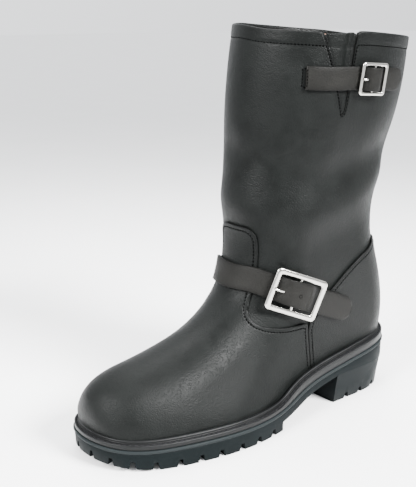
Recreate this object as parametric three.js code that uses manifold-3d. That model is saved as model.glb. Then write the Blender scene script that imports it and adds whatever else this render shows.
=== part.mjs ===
// Engineer boot for the left foot: pull-on leather boot with a buckled instep strap, a buckled
// top strap over a gusset, a stitched welt, a lugged outsole and a stacked heel.
// Millimetres. Toe towards -Y, outer side towards +X, up is +Z.
// The origin is on the floor under the middle of the heel's ground face.
import * as THREE from 'three';
import Module from 'manifold-3d';

const wasm = await Module();
wasm.setup();

// Main sizes
const BOOT_LENGTH = 298;
const BOOT_HEIGHT = 308;
const BALL_WIDTH = 97;
const SEAT_HEIGHT = 43;

// Leather
const WALL = 2.6;
const OVERLAY = 1.6;
const GAP = 0.3;
const RIM_ROUND = 0.8;

// Welt and outsole, measured outward from the line where the upper meets the sole
const WELT_MARGIN = 8.8;
const WELT_FLAT_INNER = 5.6;
const WELT_BEAD_OUTER = 5.2;
const WELT_BEAD_TOP = 3.4;
const WELT_TOE_HEIGHT = 6.2;
const WELT_HEEL_HEIGHT = 9.2;
const WELT_BEAD_HEIGHT = 2.0;
const LIP_MARGIN = 9.7;
const LIP_HEIGHT = 2.4;
const SIDE_MARGIN = 8.9;
const GROUND_MARGIN = 8.2;
const TOE_SPRING = 5.5;
const INSOLE = 2.6;

// Tread
const LUG_PITCH = 17.3;
const LUG_FIRST = 8.6;
const LUGS_A_SIDE = 11;
const NOTCH_TOP = 2.4;
const NOTCH_GROUND = 4.2;
const NOTCH_HEIGHT = 5.4;
const NOTCH_REACH = 13;
const CROSS_GROOVES = 6;
const CROSS_GROOVE_LENGTH = 34;

// Heel block
const HEEL_BREAST = -37;
const HEEL_TOP = 26;
const HEEL_TOP_MARGIN = 8.6;
const HEEL_GROUND_MARGIN = 4.6;
const HEEL_NOTCHES = 3;
const HEEL_NOTCH_PITCH = 11;

// Straps and buckles
const INSTEP_WIDTH = 21;
const INSTEP_THICKNESS = 2.2;
const INSTEP_BUCKLE_LENGTH = 46;
const INSTEP_BAR = 4.6;
const TOP_WIDTH = 17.5;
const TOP_THICKNESS = 1.8;
const TOP_BUCKLE_LENGTH = 26;
const TOP_BAR = 2.8;
const FRAME_THICKNESS = 2.6;
const PIN_RADIUS = 1.3;
const PRONG_RADIUS = 1.0;
const BILLET = 1.4;
const BUCKLE_EASE = 2;
const TOP_BUCKLE_EASE = 0.8;
const HUMP_EASE = 1.0;
const BAR_EASE = 0.9;

// Sections of the upper from the toe to the collar. Each one lies in a plane through a front (or top)
// point and a back (or bottom) point. Reaches are shares of BOOT_LENGTH, heights of BOOT_HEIGHT,
// half widths, caps and shifts of BALL_WIDTH.
const SECTION_COLUMNS = [
  'frontReach', 'frontHeight', 'backReach', 'backHeight', 'lowHalf', 'highHalf', 'lowCap', 'highCap',
  'lowShift', 'highShift',
];
const SECTIONS = [
  [-0.8322, 0.1169, -0.8322, 0.1169, 0.001, 0.001, 0.005, 0.005, 0.021, 0.021],
  [-0.8272, 0.1396, -0.8299, 0.0877, 0.108, 0.098, 0.093, 0.093, 0.021, 0.021],
  [-0.8121, 0.1623, -0.8221, 0.0568, 0.222, 0.196, 0.165, 0.186, 0.021, 0.021],
  [-0.7819, 0.1834, -0.7953, 0.0260, 0.314, 0.289, 0.186, 0.278, 0.031, 0.031],
  [-0.7383, 0.1997, -0.7483, 0.0114, 0.376, 0.361, 0.186, 0.371, 0.041, 0.041],
  [-0.6795, 0.2110, -0.6862, 0.0097, 0.421, 0.402, 0.186, 0.433, 0.057, 0.052],
  [-0.6074, 0.2273, -0.6141, 0.0081, 0.464, 0.428, 0.175, 0.495, 0.057, 0.052],
  [-0.5302, 0.2500, -0.5302, 0.0081, 0.500, 0.423, 0.165, 0.536, 0.057, 0.041],
  [-0.4631, 0.2825, -0.4463, 0.0065, 0.490, 0.407, 0.165, 0.557, 0.062, 0.021],
  [-0.4094, 0.3263, -0.3490, 0.0032, 0.448, 0.392, 0.186, 0.577, 0.046, 0.000],
  [-0.3809, 0.3734, -0.2450, 0.0162, 0.392, 0.392, 0.206, 0.598, 0.026, -0.010],
  [-0.3691, 0.4253, -0.1309, 0.0292, 0.369, 0.397, 0.258, 0.598, 0.015, -0.010],
  [-0.3691, 0.4773, -0.0101, 0.0455, 0.363, 0.407, 0.320, 0.577, 0.005, 0.000],
  [-0.3742, 0.5260, 0.0973, 0.0877, 0.361, 0.418, 0.351, 0.557, 0.000, 0.000],
  [-0.3775, 0.5714, 0.1292, 0.1883, 0.381, 0.433, 0.412, 0.557, 0.000, 0.000],
  [-0.3758, 0.6136, 0.1191, 0.2955, 0.402, 0.448, 0.495, 0.557, 0.000, 0.000],
  [-0.3742, 0.6591, 0.0906, 0.3929, 0.418, 0.469, 0.557, 0.577, 0.000, 0.000],
  [-0.3725, 0.7208, 0.0805, 0.5032, 0.454, 0.490, 0.619, 0.619, 0.000, 0.000],
  [-0.3674, 0.8117, 0.1124, 0.6494, 0.515, 0.536, 0.660, 0.660, 0.000, 0.000],
  [-0.3540, 0.9123, 0.1644, 0.8117, 0.567, 0.588, 0.701, 0.722, 0.000, 0.000],
  [-0.3356, 1.0000, 0.1779, 0.9610, 0.619, 0.629, 0.763, 0.763, 0.000, 0.000],
];
const LAST_SECTION = SECTIONS.length - 1;

// Height of the outsole's top along the boot: [reach share, share of SEAT_HEIGHT]
const SOLE_LINE = [
  [-0.889, 0.455], [-0.849, 0.437], [-0.809, 0.409], [-0.752, 0.388], [-0.668, 0.379], [-0.570, 0.377],
  [-0.460, 0.379], [-0.403, 0.386], [-0.342, 0.433], [-0.299, 0.512], [-0.258, 0.598], [-0.218, 0.667],
  [-0.178, 0.721], [-0.138, 0.767], [-0.097, 0.809], [-0.054, 0.856], [-0.013, 0.895], [0.034, 0.935],
  [0.101, 0.979], [0.200, 1.026],
];
const WELT_RISE = [-0.37, -0.28];

// Underside of the arch, from the end of the tread to the heel: [reach share, share of HEEL_TOP]
const ARCH_LINE = [
  [-0.356, 0.30], [-0.320, 0.385], [-0.282, 0.510], [-0.238, 0.690], [-0.198, 0.812], [-0.160, 0.896],
  [-0.128, 0.965],
];

// Vamp seen from the front: half its outline, [share of BALL_WIDTH, share of BOOT_HEIGHT]
const VAMP_FRONT = [
  [0.90, -0.06], [0.90, 0.230], [0.475, 0.233], [0.392, 0.247], [0.325, 0.264], [0.270, 0.284],
  [0.234, 0.306], [0.216, 0.331], [0.211, 0.474], [0.198, 0.490], [0.165, 0.502], [0.115, 0.507],
];
// Seam between vamp and counter seen from the side: [reach share, share of BOOT_HEIGHT]
const SEAM = [[-0.203, -0.10], [-0.2047, 0.065], [-0.2242, 0.2305]];
// Top edge of the counter from that seam to the back
const COUNTER_TOP = [
  [-0.215, 0.257], [-0.193, 0.282], [-0.162, 0.310], [-0.131, 0.335], [-0.097, 0.362], [-0.064, 0.385],
  [-0.027, 0.406], [0.013, 0.424], [0.047, 0.432], [0.300, 0.434],
];
const BACKSTAY_HALF = 14;
const BACKSTAY_TOP = 0.925;

// Gusset seen from the side: front corner, back corner and point
const GUSSET_FRONT = [-0.2450, 1.02];
const GUSSET_BACK = [-0.1430, 1.02];
const GUSSET_POINT = [-0.1688, 0.770];
const GUSSET_SET_IN = 0.5;
const GUSSET_THICKNESS = 1.3;

// Strap paths: [side, reach share, share of BOOT_HEIGHT], with 0 for a point on the front line
const INSTEP_PATH = [
  [-1, -0.150, 0.288], [-1, -0.255, 0.331], [-1, -0.342, 0.366], [0, -0.381, 0.3734],
  [1, -0.352, 0.370], [1, -0.262, 0.333], [1, -0.160, 0.290], [1, -0.076, 0.256],
];
const INSTEP_BUCKLE_AT = [1, -0.2765, 0.339];
const TOP_PATH = [
  [1, -0.272, 0.877], [1, -0.170, 0.874], [1, -0.070, 0.870], [1, 0.030, 0.864],
];
const TOP_BUCKLE_AT = [1, -0.096, 0.871];

// Grid of the upper's surface
const RING_AT = [
  0.12, 0.5, 1, 1.5, 2, 2.5, 3, 3.6, 4.3, 5, 6, 7, 8, 8.7, 9.4, 10, 10.6, 11.2, 11.8, 12.4, 13, 13.5, 14,
  14.7, 15.5, 16.3, 17.1, 18, 19, 20,
];
const AROUND = 30;
const INNER_AROUND = 20;
const OUTLINE_POINTS = 52;

const vec = (x, y, z) => new THREE.Vector3(x, y, z);

// Catmull-Rom value of a table of rows at position t
function splineRow(rows, t) {
  const last = rows.length - 1;
  const i = Math.min(Math.max(Math.floor(t), 0), last - 1);
  const f = t - i;
  const p1 = rows[i];
  const p2 = rows[i + 1];
  return p1.map((_, k) => {
    const p0 = i > 0 ? rows[i - 1][k] : 2 * p1[k] - p2[k];
    const p3 = i + 2 <= last ? rows[i + 2][k] : 2 * p2[k] - p1[k];
    const linear = p2[k] - p0;
    const square = 2 * p0 - 5 * p1[k] + 4 * p2[k] - p3;
    const cube = 3 * p1[k] - p0 - 3 * p2[k] + p3;
    return 0.5 * (2 * p1[k] + linear * f + square * f * f + cube * f * f * f);
  });
}

// Smooth height through [y, z] points of uneven spacing
function heightThrough(points, y) {
  const last = points.length - 1;
  let i = points.findIndex((p, k) => k < last && y <= points[k + 1][0]);
  if (i < 0) {
    i = last - 1;
  }
  const slope = (k) => {
    const a = points[Math.max(k - 1, 0)];
    const b = points[Math.min(k + 1, last)];
    return (b[1] - a[1]) / (b[0] - a[0]);
  };
  const [y0, z0] = points[i];
  const [y1, z1] = points[i + 1];
  const span = y1 - y0;
  const f = Math.min(Math.max((y - y0) / span, 0), 1);
  const f2 = f * f;
  const f3 = f2 * f;
  const start = (2 * f3 - 3 * f2 + 1) * z0 + (f3 - 2 * f2 + f) * span * slope(i);
  const end = (3 * f2 - 2 * f3) * z1 + (f3 - f2) * span * slope(i + 1);
  return start + end;
}

const SOLE_POINTS = SOLE_LINE.map(([reach, share]) => [reach * BOOT_LENGTH, share * SEAT_HEIGHT]);
const soleTop = (y) => heightThrough(SOLE_POINTS, y);
const smooth = (f) => f * f * (3 - 2 * f);
const clamp01 = (f) => Math.min(Math.max(f, 0), 1);

// Half of a section from its bottom (or back) point to its top (or front) point, evenly spaced
const HALF_SAMPLES = 60;
const halfCache = new Map();
function halfSection(t) {
  if (halfCache.has(t)) {
    return halfCache.get(t);
  }
  const row = splineRow(SECTIONS, t);
  const s = Object.fromEntries(SECTION_COLUMNS.map((name, k) => [name, row[k]]));
  const front = [s.frontReach * BOOT_LENGTH, s.frontHeight * BOOT_HEIGHT];
  const back = [s.backReach * BOOT_LENGTH, s.backHeight * BOOT_HEIGHT];
  const chord = Math.max(Math.hypot(front[0] - back[0], front[1] - back[1]), 1e-6);
  const lowCap = Math.min(s.lowCap * BALL_WIDTH, chord / 2);
  const highCap = Math.min(s.highCap * BALL_WIDTH, chord - lowCap);
  const along = [];
  for (let k = 0; k <= HALF_SAMPLES; k += 1) {
    const turn = (Math.PI / 2) * (k / HALF_SAMPLES);
    along.push([lowCap * (1 - Math.cos(turn)), Math.sin(turn)]);
  }
  for (let k = HALF_SAMPLES; k >= 0; k -= 1) {
    const turn = (Math.PI / 2) * (k / HALF_SAMPLES);
    along.push([chord - highCap * (1 - Math.cos(turn)), Math.sin(turn)]);
  }
  const run = Math.max(chord - highCap / 2 - lowCap / 2, 1e-6);
  const points = along.map(([d, swell]) => {
    const mix = smooth(clamp01((d - lowCap / 2) / run));
    const half = (s.lowHalf + (s.highHalf - s.lowHalf) * mix) * BALL_WIDTH * swell;
    const shift = (s.lowShift + (s.highShift - s.lowShift) * mix) * BALL_WIDTH;
    return { d: d / chord, half, shift };
  });
  const lengths = [0];
  for (let k = 1; k < points.length; k += 1) {
    const step = Math.hypot((points[k].d - points[k - 1].d) * chord, points[k].half - points[k - 1].half);
    lengths.push(lengths[k - 1] + step);
  }
  const data = { points, lengths, front, back };
  halfCache.set(t, data);
  return data;
}

// Point of the upper's outer surface: t runs along SECTIONS, turn goes once round from the bottom
// over the outer side (0 to 0.5) to the top and back over the inner side
function surfacePoint(t, turn) {
  const { points, lengths, front, back } = halfSection(t);
  const whole = turn - Math.floor(turn);
  const side = whole <= 0.5 ? 1 : -1;
  const share = side > 0 ? 2 * whole : 2 * (1 - whole);
  const target = share * lengths[lengths.length - 1];
  let low = 0;
  let high = lengths.length - 1;
  while (high - low > 1) {
    const mid = (low + high) >> 1;
    if (lengths[mid] <= target) {
      low = mid;
    } else {
      high = mid;
    }
  }
  const step = lengths[high] - lengths[low];
  const f = step > 0 ? (target - lengths[low]) / step : 0;
  const d = points[low].d + (points[high].d - points[low].d) * f;
  const half = points[low].half + (points[high].half - points[low].half) * f;
  const shift = points[low].shift + (points[high].shift - points[low].shift) * f;
  return vec(shift + side * half, back[0] + (front[0] - back[0]) * d, back[1] + (front[1] - back[1]) * d);
}

const STEP_ALONG = 0.06;
const STEP_ROUND = 0.006;
function surfaceNormal(t, turn) {
  const t0 = Math.max(t - STEP_ALONG, RING_AT[0] / 2);
  const t1 = Math.min(t + STEP_ALONG, LAST_SECTION);
  const along = surfacePoint(t1, turn).sub(surfacePoint(t0, turn));
  const round = surfacePoint(t, turn + STEP_ROUND).sub(surfacePoint(t, turn - STEP_ROUND));
  return along.cross(round).normalize();
}

function offsetPoint(t, turn, offset) {
  return surfacePoint(t, turn).addScaledVector(surfaceNormal(t, turn), offset);
}

function solid(vertices, triangles) {
  const vertProperties = new Float32Array(vertices.flatMap((p) => [p.x, p.y, p.z]));
  const triVerts = new Uint32Array(triangles.flat());
  return new wasm.Manifold(new wasm.Mesh({ numProp: 3, vertProperties, triVerts }));
}

// Closed solid through rings of equal size, capped by a point at each end
function ringSolid(rings, startPoint, endPoint) {
  const n = rings[0].length;
  const vertices = rings.flat();
  const start = vertices.push(startPoint) - 1;
  const end = vertices.push(endPoint) - 1;
  const triangles = [];
  const at = (i, j) => i * n + (j % n);
  for (let i = 0; i + 1 < rings.length; i += 1) {
    for (let j = 0; j < n; j += 1) {
      triangles.push([at(i, j), at(i + 1, j), at(i + 1, j + 1)]);
      triangles.push([at(i, j), at(i + 1, j + 1), at(i, j + 1)]);
    }
  }
  const top = rings.length - 1;
  for (let j = 0; j < n; j += 1) {
    triangles.push([start, at(0, j), at(0, j + 1)]);
    triangles.push([end, at(top, j + 1), at(top, j)]);
  }
  return solid(vertices, triangles);
}

const centreOf = (points) => points.reduce((sum, p) => sum.add(p), vec(0, 0, 0)).divideScalar(points.length);

// The body bounded by the upper's surface at an offset, from the toe to the collar
function lastSolid(offset, { around = AROUND, above = 0, round = 0 } = {}) {
  const ring = (t, out) => Array.from({ length: around }, (_, j) => offsetPoint(t, j / around, out));
  const list = RING_AT.map((t) => ring(t, offset));
  const rim = list[list.length - 1];
  const up = collarUp();
  if (round > 0) {
    rim.forEach((p) => p.addScaledVector(up, -round));
    list.push(ring(LAST_SECTION, offset - round));
  }
  if (above > 0) {
    list.push(rim.map((p) => p.clone().addScaledVector(up, above)));
  }
  const pole = surfacePoint(0, 0).add(vec(0, -offset, 0));
  return ringSolid(list, pole, centreOf(list[list.length - 1]));
}

function collarUp() {
  const { front, back } = halfSection(LAST_SECTION);
  const slope = vec(0, front[0] - back[0], front[1] - back[1]).normalize();
  return vec(0, slope.z, -slope.y);
}

// Straight prism on an outline of [a, b] points, seen along X or along Y
function prism(outline, axis, from, to) {
  const place = axis === 'x' ? ([a, b], s) => vec(s, a, b) : ([a, b], s) => vec(a, s, b);
  const turned = axis === 'x' ? 1 : -1;
  const area = outline.reduce((sum, p, k) => {
    const q = outline[(k + 1) % outline.length];
    return sum + p[0] * q[1] - q[0] * p[1];
  }, 0);
  const ordered = area * turned > 0 ? outline : outline.slice().reverse();
  const n = ordered.length;
  const vertices = [...ordered.map((p) => place(p, from)), ...ordered.map((p) => place(p, to))];
  const faces = THREE.ShapeUtils.triangulateShape(ordered.map(([a, b]) => new THREE.Vector2(a, b)), []);
  const triangles = [];
  faces.forEach(([a, b, c]) => {
    const flip = turned > 0;
    triangles.push(flip ? [a, c, b] : [a, b, c]);
    triangles.push(flip ? [a + n, b + n, c + n] : [a + n, c + n, b + n]);
  });
  for (let k = 0; k < n; k += 1) {
    const next = (k + 1) % n;
    triangles.push([k, next, next + n]);
    triangles.push([k, next + n, k + n]);
  }
  return orient(vertices, triangles);
}

// Solid whose triangles are turned outward if they were given inward
function orient(vertices, triangles) {
  const volume = triangles.reduce((sum, [a, b, c]) => {
    return sum + vertices[a].dot(vertices[b].clone().cross(vertices[c]));
  }, 0);
  return solid(vertices, volume > 0 ? triangles : triangles.map(([a, b, c]) => [a, c, b]));
}

const WIDE = 150;
const DEEP = -90;
const SOLE_STATIONS = 18;
const CLEAR = 20;

// Everything below the outsole's top raised by lift
function belowSole(lift) {
  const from = SOLE_POINTS[0][0];
  const to = SOLE_POINTS[SOLE_POINTS.length - 1][0];
  const line = Array.from({ length: SOLE_STATIONS + 1 }, (_, k) => {
    const y = from + (to - from) * (k / SOLE_STATIONS);
    return [y, soleTop(y) + lift];
  });
  return prism([[to, DEEP], ...line.reverse(), [from, DEEP]], 'x', -WIDE, WIDE);
}

const shares = (points, wide, high) => points.map(([a, b]) => [a * wide, b * high]);
const sideView = (points) => shares(points, BOOT_LENGTH, BOOT_HEIGHT);

// Upper and what is cut from shells over it
const outer = lastSolid(0, { round: RIM_ROUND });
const inner = lastSolid(-WALL, { around: INNER_AROUND, above: CLEAR });
const shellOver = (from, to) => lastSolid(to).subtract(lastSolid(from, { above: CLEAR }));
const overlayShell = shellOver(GAP, GAP + OVERLAY);
const below = belowSole(GAP);

const gussetSlit = prism(sideView([GUSSET_FRONT, GUSSET_BACK, GUSSET_POINT]), 'x', 0, WIDE);
const slitInset = (1.1 * GAP) / BOOT_LENGTH;
const slitHalfWidth = ((GUSSET_BACK[0] - GUSSET_FRONT[0]) * BOOT_LENGTH) / 2;
const slitDepth = (GUSSET_FRONT[1] - GUSSET_POINT[1]) * BOOT_HEIGHT;
const slitSlope = slitHalfWidth / slitDepth;
const gussetCut = prism(
  sideView([
    [GUSSET_FRONT[0] + slitInset, GUSSET_FRONT[1]],
    [GUSSET_BACK[0] - slitInset, GUSSET_BACK[1]],
    [GUSSET_POINT[0], GUSSET_POINT[1] + GAP / slitSlope / BOOT_HEIGHT],
  ]),
  'x',
  0,
  WIDE,
);
const gussetShell = shellOver(-GUSSET_SET_IN - GUSSET_THICKNESS, -GUSSET_SET_IN);

const upper = outer.subtract(inner).subtract(below).subtract(gussetSlit);
const gusset = gussetShell.intersect(gussetCut);

const vampHalf = shares(VAMP_FRONT, BALL_WIDTH, BOOT_HEIGHT);
const vampOutline = [...vampHalf, ...vampHalf.slice().reverse().map(([x, z]) => [-x, z])];
const seam = sideView(SEAM);
const behindSeam = prism(
  [...seam, [seam[2][0], BOOT_HEIGHT], [WIDE, BOOT_HEIGHT], [WIDE, DEEP]],
  'x',
  -WIDE,
  WIDE,
);
const vamp = overlayShell
  .intersect(prism(vampOutline, 'y', -2 * BOOT_LENGTH, seam[0][0] + GAP))
  .subtract(behindSeam)
  .subtract(below);

const counterEdge = [...seam.map(([y, z]) => [y + GAP, z]), ...sideView(COUNTER_TOP)];
const counterCut = prism([...counterEdge, [WIDE, DEEP]], 'x', -WIDE, WIDE);
const counter = overlayShell.intersect(counterCut).subtract(below);

const counterBack = COUNTER_TOP[COUNTER_TOP.length - 1][1] * BOOT_HEIGHT + GAP;
const backstayOutline = [
  [-BACKSTAY_HALF, counterBack], [BACKSTAY_HALF, counterBack],
  [BACKSTAY_HALF, BACKSTAY_TOP * BOOT_HEIGHT], [-BACKSTAY_HALF, BACKSTAY_TOP * BOOT_HEIGHT],
];
const backstay = overlayShell.intersect(prism(backstayOutline, 'y', 0, WIDE));

const insole = lastSolid(-WALL - GAP, { around: INNER_AROUND })
  .intersect(belowSole(GAP + INSOLE))
  .subtract(below);

// Line where the upper meets the outsole, as a closed loop from the heel round the outer side to the toe
function featherLoop(count) {
  const gapAt = (t, turn) => {
    const p = surfacePoint(t, turn);
    return p.z - soleTop(p.y);
  };
  const bisect = (f, a, b) => {
    let low = a;
    let high = b;
    const sign = Math.sign(f(a));
    for (let k = 0; k < 40; k += 1) {
      const mid = (low + high) / 2;
      if (Math.sign(f(mid)) === sign) {
        low = mid;
      } else {
        high = mid;
      }
    }
    return (low + high) / 2;
  };
  const toe = bisect((t) => gapAt(t, 0), RING_AT[0], LAST_SECTION * 0.3);
  const heel = bisect((t) => gapAt(t, 0), LAST_SECTION * 0.5, LAST_SECTION * 0.8);
  const dense = 240;
  const side = (sign) => Array.from({ length: dense + 1 }, (_, k) => {
    const t = heel + (toe - heel) * (0.5 - 0.5 * Math.cos((Math.PI * k) / dense));
    const share = k === 0 || k === dense ? 0 : bisect((a) => gapAt(t, a), 1e-6, 0.25);
    return surfacePoint(t, sign > 0 ? share : -share);
  });
  const line = [...side(1), ...side(-1).reverse().slice(1, -1)];
  line.push(line[0]);
  const lengths = [0];
  line.slice(1).forEach((p, k) => lengths.push(lengths[k] + Math.hypot(p.x - line[k].x, p.y - line[k].y)));
  const total = lengths[lengths.length - 1];
  let loop = Array.from({ length: count }, (_, k) => {
    const target = (total * k) / count;
    const i = Math.max(lengths.findIndex((d) => d > target), 1);
    const f = (target - lengths[i - 1]) / (lengths[i] - lengths[i - 1]);
    return line[i - 1].clone().lerp(line[i], f);
  });
  for (let pass = 0; pass < 2; pass += 1) {
    loop = loop.map((p, k) => {
      const before = loop[(k + count - 1) % count];
      const after = loop[(k + 1) % count];
      return p.clone().multiplyScalar(2).add(before).add(after).divideScalar(4);
    });
  }
  return loop;
}

const feather = featherLoop(OUTLINE_POINTS);
const featherOut = feather.map((p, k) => {
  const before = feather[(k + OUTLINE_POINTS - 1) % OUTLINE_POINTS];
  const after = feather[(k + 1) % OUTLINE_POINTS];
  return vec(-(after.y - before.y), after.x - before.x, 0).normalize().negate();
});
const outwardSign = Math.sign(featherOut[OUTLINE_POINTS / 4].x);
featherOut.forEach((n) => n.multiplyScalar(outwardSign));

const outlineAt = (margin, height) => feather.map((p, k) => {
  const q = p.clone().addScaledVector(featherOut[k], margin);
  q.z = height(q.y);
  return q;
});

// Solid disc between outlines stacked from the bottom up, its faces laid across from side to side
function stack(layers) {
  const n = OUTLINE_POINTS;
  const vertices = layers.flat();
  const triangles = [];
  layers.slice(1).forEach((_, i) => {
    for (let k = 0; k < n; k += 1) {
      const a = i * n + k;
      const b = i * n + ((k + 1) % n);
      triangles.push([a, b, b + n], [a, b + n, a + n]);
    }
  });
  const top = (layers.length - 1) * n;
  for (let k = 0; k < n / 2; k += 1) {
    const quad = [k, k + 1, (n - k - 1) % n, (n - k) % n];
    const faces = [[quad[0], quad[2], quad[1]], [quad[0], quad[3], quad[2]]];
    faces.filter(([a, b, c]) => a !== b && b !== c && a !== c).forEach(([a, b, c]) => {
      triangles.push([a, b, c], [a + top, c + top, b + top]);
    });
  }
  return orient(vertices, triangles);
}

// Closed tube of outlines going once round its own profile
function band(layers) {
  const n = OUTLINE_POINTS;
  const triangles = [];
  layers.forEach((_, i) => {
    const next = (i + 1) % layers.length;
    for (let k = 0; k < n; k += 1) {
      const step = (k + 1) % n;
      triangles.push([i * n + k, i * n + step, next * n + step]);
      triangles.push([i * n + k, next * n + step, next * n + k]);
    }
  });
  return orient(layers.flat(), triangles);
}

// Welt
const weltHeight = (y) => {
  const [from, to] = WELT_RISE.map((share) => share * BOOT_LENGTH);
  return WELT_TOE_HEIGHT + (WELT_HEEL_HEIGHT - WELT_TOE_HEIGHT) * smooth(clamp01((y - from) / (to - from)));
};
const beadTop = (y) => soleTop(y) + weltHeight(y);
const weltFlat = (y) => beadTop(y) - WELT_BEAD_HEIGHT;
const UNDER = 4;
const welt = band([
  outlineAt(-UNDER, (y) => soleTop(y) - UNDER),
  outlineAt(WELT_MARGIN, (y) => soleTop(y) - UNDER),
  outlineAt(WELT_MARGIN, weltFlat),
  outlineAt(WELT_FLAT_INNER, (y) => weltFlat(y) - GAP),
  outlineAt(WELT_BEAD_OUTER, (y) => beadTop(y) - WELT_BEAD_HEIGHT / 4),
  outlineAt(WELT_BEAD_TOP, beadTop),
  outlineAt(-UNDER, beadTop),
])
  .subtract(lastSolid(2 * GAP + OVERLAY))
  .subtract(below);

// Outsole
const toeEnd = Math.min(...feather.map((p) => p.y)) - GROUND_MARGIN;
const SPRING_SHARE = 0.19;
const springReach = SPRING_SHARE * BOOT_LENGTH;
const spring = (y) => TOE_SPRING * clamp01((toeEnd + springReach - y) / springReach) ** 2;
const archLine = shares(ARCH_LINE, BOOT_LENGTH, HEEL_TOP);
const underArch = prism(
  [[archLine[0][0], DEEP], ...archLine, [HEEL_BREAST, HEEL_TOP], [WIDE, HEEL_TOP], [WIDE, DEEP]],
  'x',
  -WIDE,
  WIDE,
);

// Wedge cut into a sole's ground edge at a point of its outline
function notch(point, outward, tangent) {
  const corner = (side, reach, z, half) => point
    .clone()
    .addScaledVector(outward, reach)
    .addScaledVector(tangent, side * half)
    .setZ(z);
  const vertices = [];
  [-NOTCH_REACH, NOTCH_REACH].forEach((reach) => {
    vertices.push(corner(-1, reach, -NOTCH_HEIGHT, NOTCH_GROUND / 2 + 1));
    vertices.push(corner(1, reach, -NOTCH_HEIGHT, NOTCH_GROUND / 2 + 1));
    vertices.push(corner(1, reach, point.z + NOTCH_HEIGHT, NOTCH_TOP / 2));
    vertices.push(corner(-1, reach, point.z + NOTCH_HEIGHT, NOTCH_TOP / 2));
  });
  return blockOf(vertices);
}

// Six-sided block from two rings of four corners
function blockOf(corners) {
  const triangles = [
    [0, 1, 2], [0, 2, 3], [4, 6, 5], [4, 7, 6], [0, 4, 5], [0, 5, 1],
    [1, 5, 6], [1, 6, 2], [2, 6, 7], [2, 7, 3], [3, 7, 4], [3, 4, 0],
  ];
  return orient(corners, triangles);
}

const groundLoop = outlineAt(GROUND_MARGIN, spring);
// Walk along the ground outline from the toe by a distance, on one side
function groundAt(distance, side) {
  let k = OUTLINE_POINTS / 2;
  let left = distance;
  for (let step = 0; step < OUTLINE_POINTS / 2; step += 1) {
    const next = k - side;
    const a = groundLoop[k];
    const b = groundLoop[next];
    const length = a.distanceTo(b);
    if (left <= length) {
      const point = a.clone().lerp(b, left / length);
      const tangent = b.clone().sub(a).setZ(0).normalize();
      const outward = vec(tangent.y, -tangent.x, 0).multiplyScalar(-side);
      return { point, tangent, outward };
    }
    left -= length;
    k = next;
  }
  return null;
}

let outsole = stack([
  outlineAt(GROUND_MARGIN, spring),
  outlineAt(SIDE_MARGIN, (y) => soleTop(y) - LIP_HEIGHT - GAP * 2),
  outlineAt(LIP_MARGIN, (y) => soleTop(y) - LIP_HEIGHT),
  outlineAt(LIP_MARGIN, (y) => soleTop(y) + UNDER),
])
  .intersect(belowSole(0))
  .subtract(underArch);
[1, -1].forEach((side) => {
  for (let k = 0; k < LUGS_A_SIDE; k += 1) {
    const { point, tangent, outward } = groundAt(LUG_FIRST + k * LUG_PITCH, side);
    outsole = outsole.subtract(notch(point, outward, tangent));
  }
});
const treadFrom = toeEnd + 2 * LUG_PITCH;
const treadTo = archLine[0][0] - LUG_PITCH;
for (let k = 0; k < CROSS_GROOVES; k += 1) {
  const y = treadFrom + ((treadTo - treadFrom) * k) / (CROSS_GROOVES - 1);
  const half = NOTCH_GROUND / 2;
  const across = CROSS_GROOVE_LENGTH / 2;
  const shift = SECTIONS[7][8] * BALL_WIDTH;
  outsole = outsole.subtract(blockOf([
    vec(shift - across, y - half, -UNDER), vec(shift + across, y - half, -UNDER),
    vec(shift + across, y + half, -UNDER), vec(shift - across, y + half, -UNDER),
    vec(shift - across, y - half, NOTCH_HEIGHT / 2), vec(shift + across, y - half, NOTCH_HEIGHT / 2),
    vec(shift + across, y + half, NOTCH_HEIGHT / 2), vec(shift - across, y + half, NOTCH_HEIGHT / 2),
  ]));
}

// Heel block
const heelBody = stack([
  outlineAt(HEEL_GROUND_MARGIN, () => 0),
  outlineAt(HEEL_TOP_MARGIN, () => HEEL_TOP - GAP),
]);
const heelKeep = prism(
  [[HEEL_BREAST, -UNDER], [HEEL_BREAST, HEEL_TOP], [WIDE, HEEL_TOP], [WIDE, -UNDER]],
  'x',
  -WIDE,
  WIDE,
);
let heel = heelBody.intersect(heelKeep);
const heelLoop = outlineAt(HEEL_GROUND_MARGIN, () => 0);
const outlineStep = heelLoop[0].distanceTo(heelLoop[1]);
for (let k = 1; k <= HEEL_NOTCHES; k += 1) {
  [1, -1].forEach((side) => {
    const steps = Math.round((k * HEEL_NOTCH_PITCH) / outlineStep);
    const index = (side * steps + OUTLINE_POINTS) % OUTLINE_POINTS;
    const point = heelLoop[index];
    const tangent = vec(-featherOut[index].y, featherOut[index].x, 0);
    heel = heel.subtract(notch(point, featherOut[index], tangent));
  });
}

const WALK_ALONG = 0.01;
const WALK_ROUND = 0.001;
const FIRST_SECTION = 5;
const FRONT_TURN = 0.5;
const CLOSING_STEPS = 12;
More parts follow.
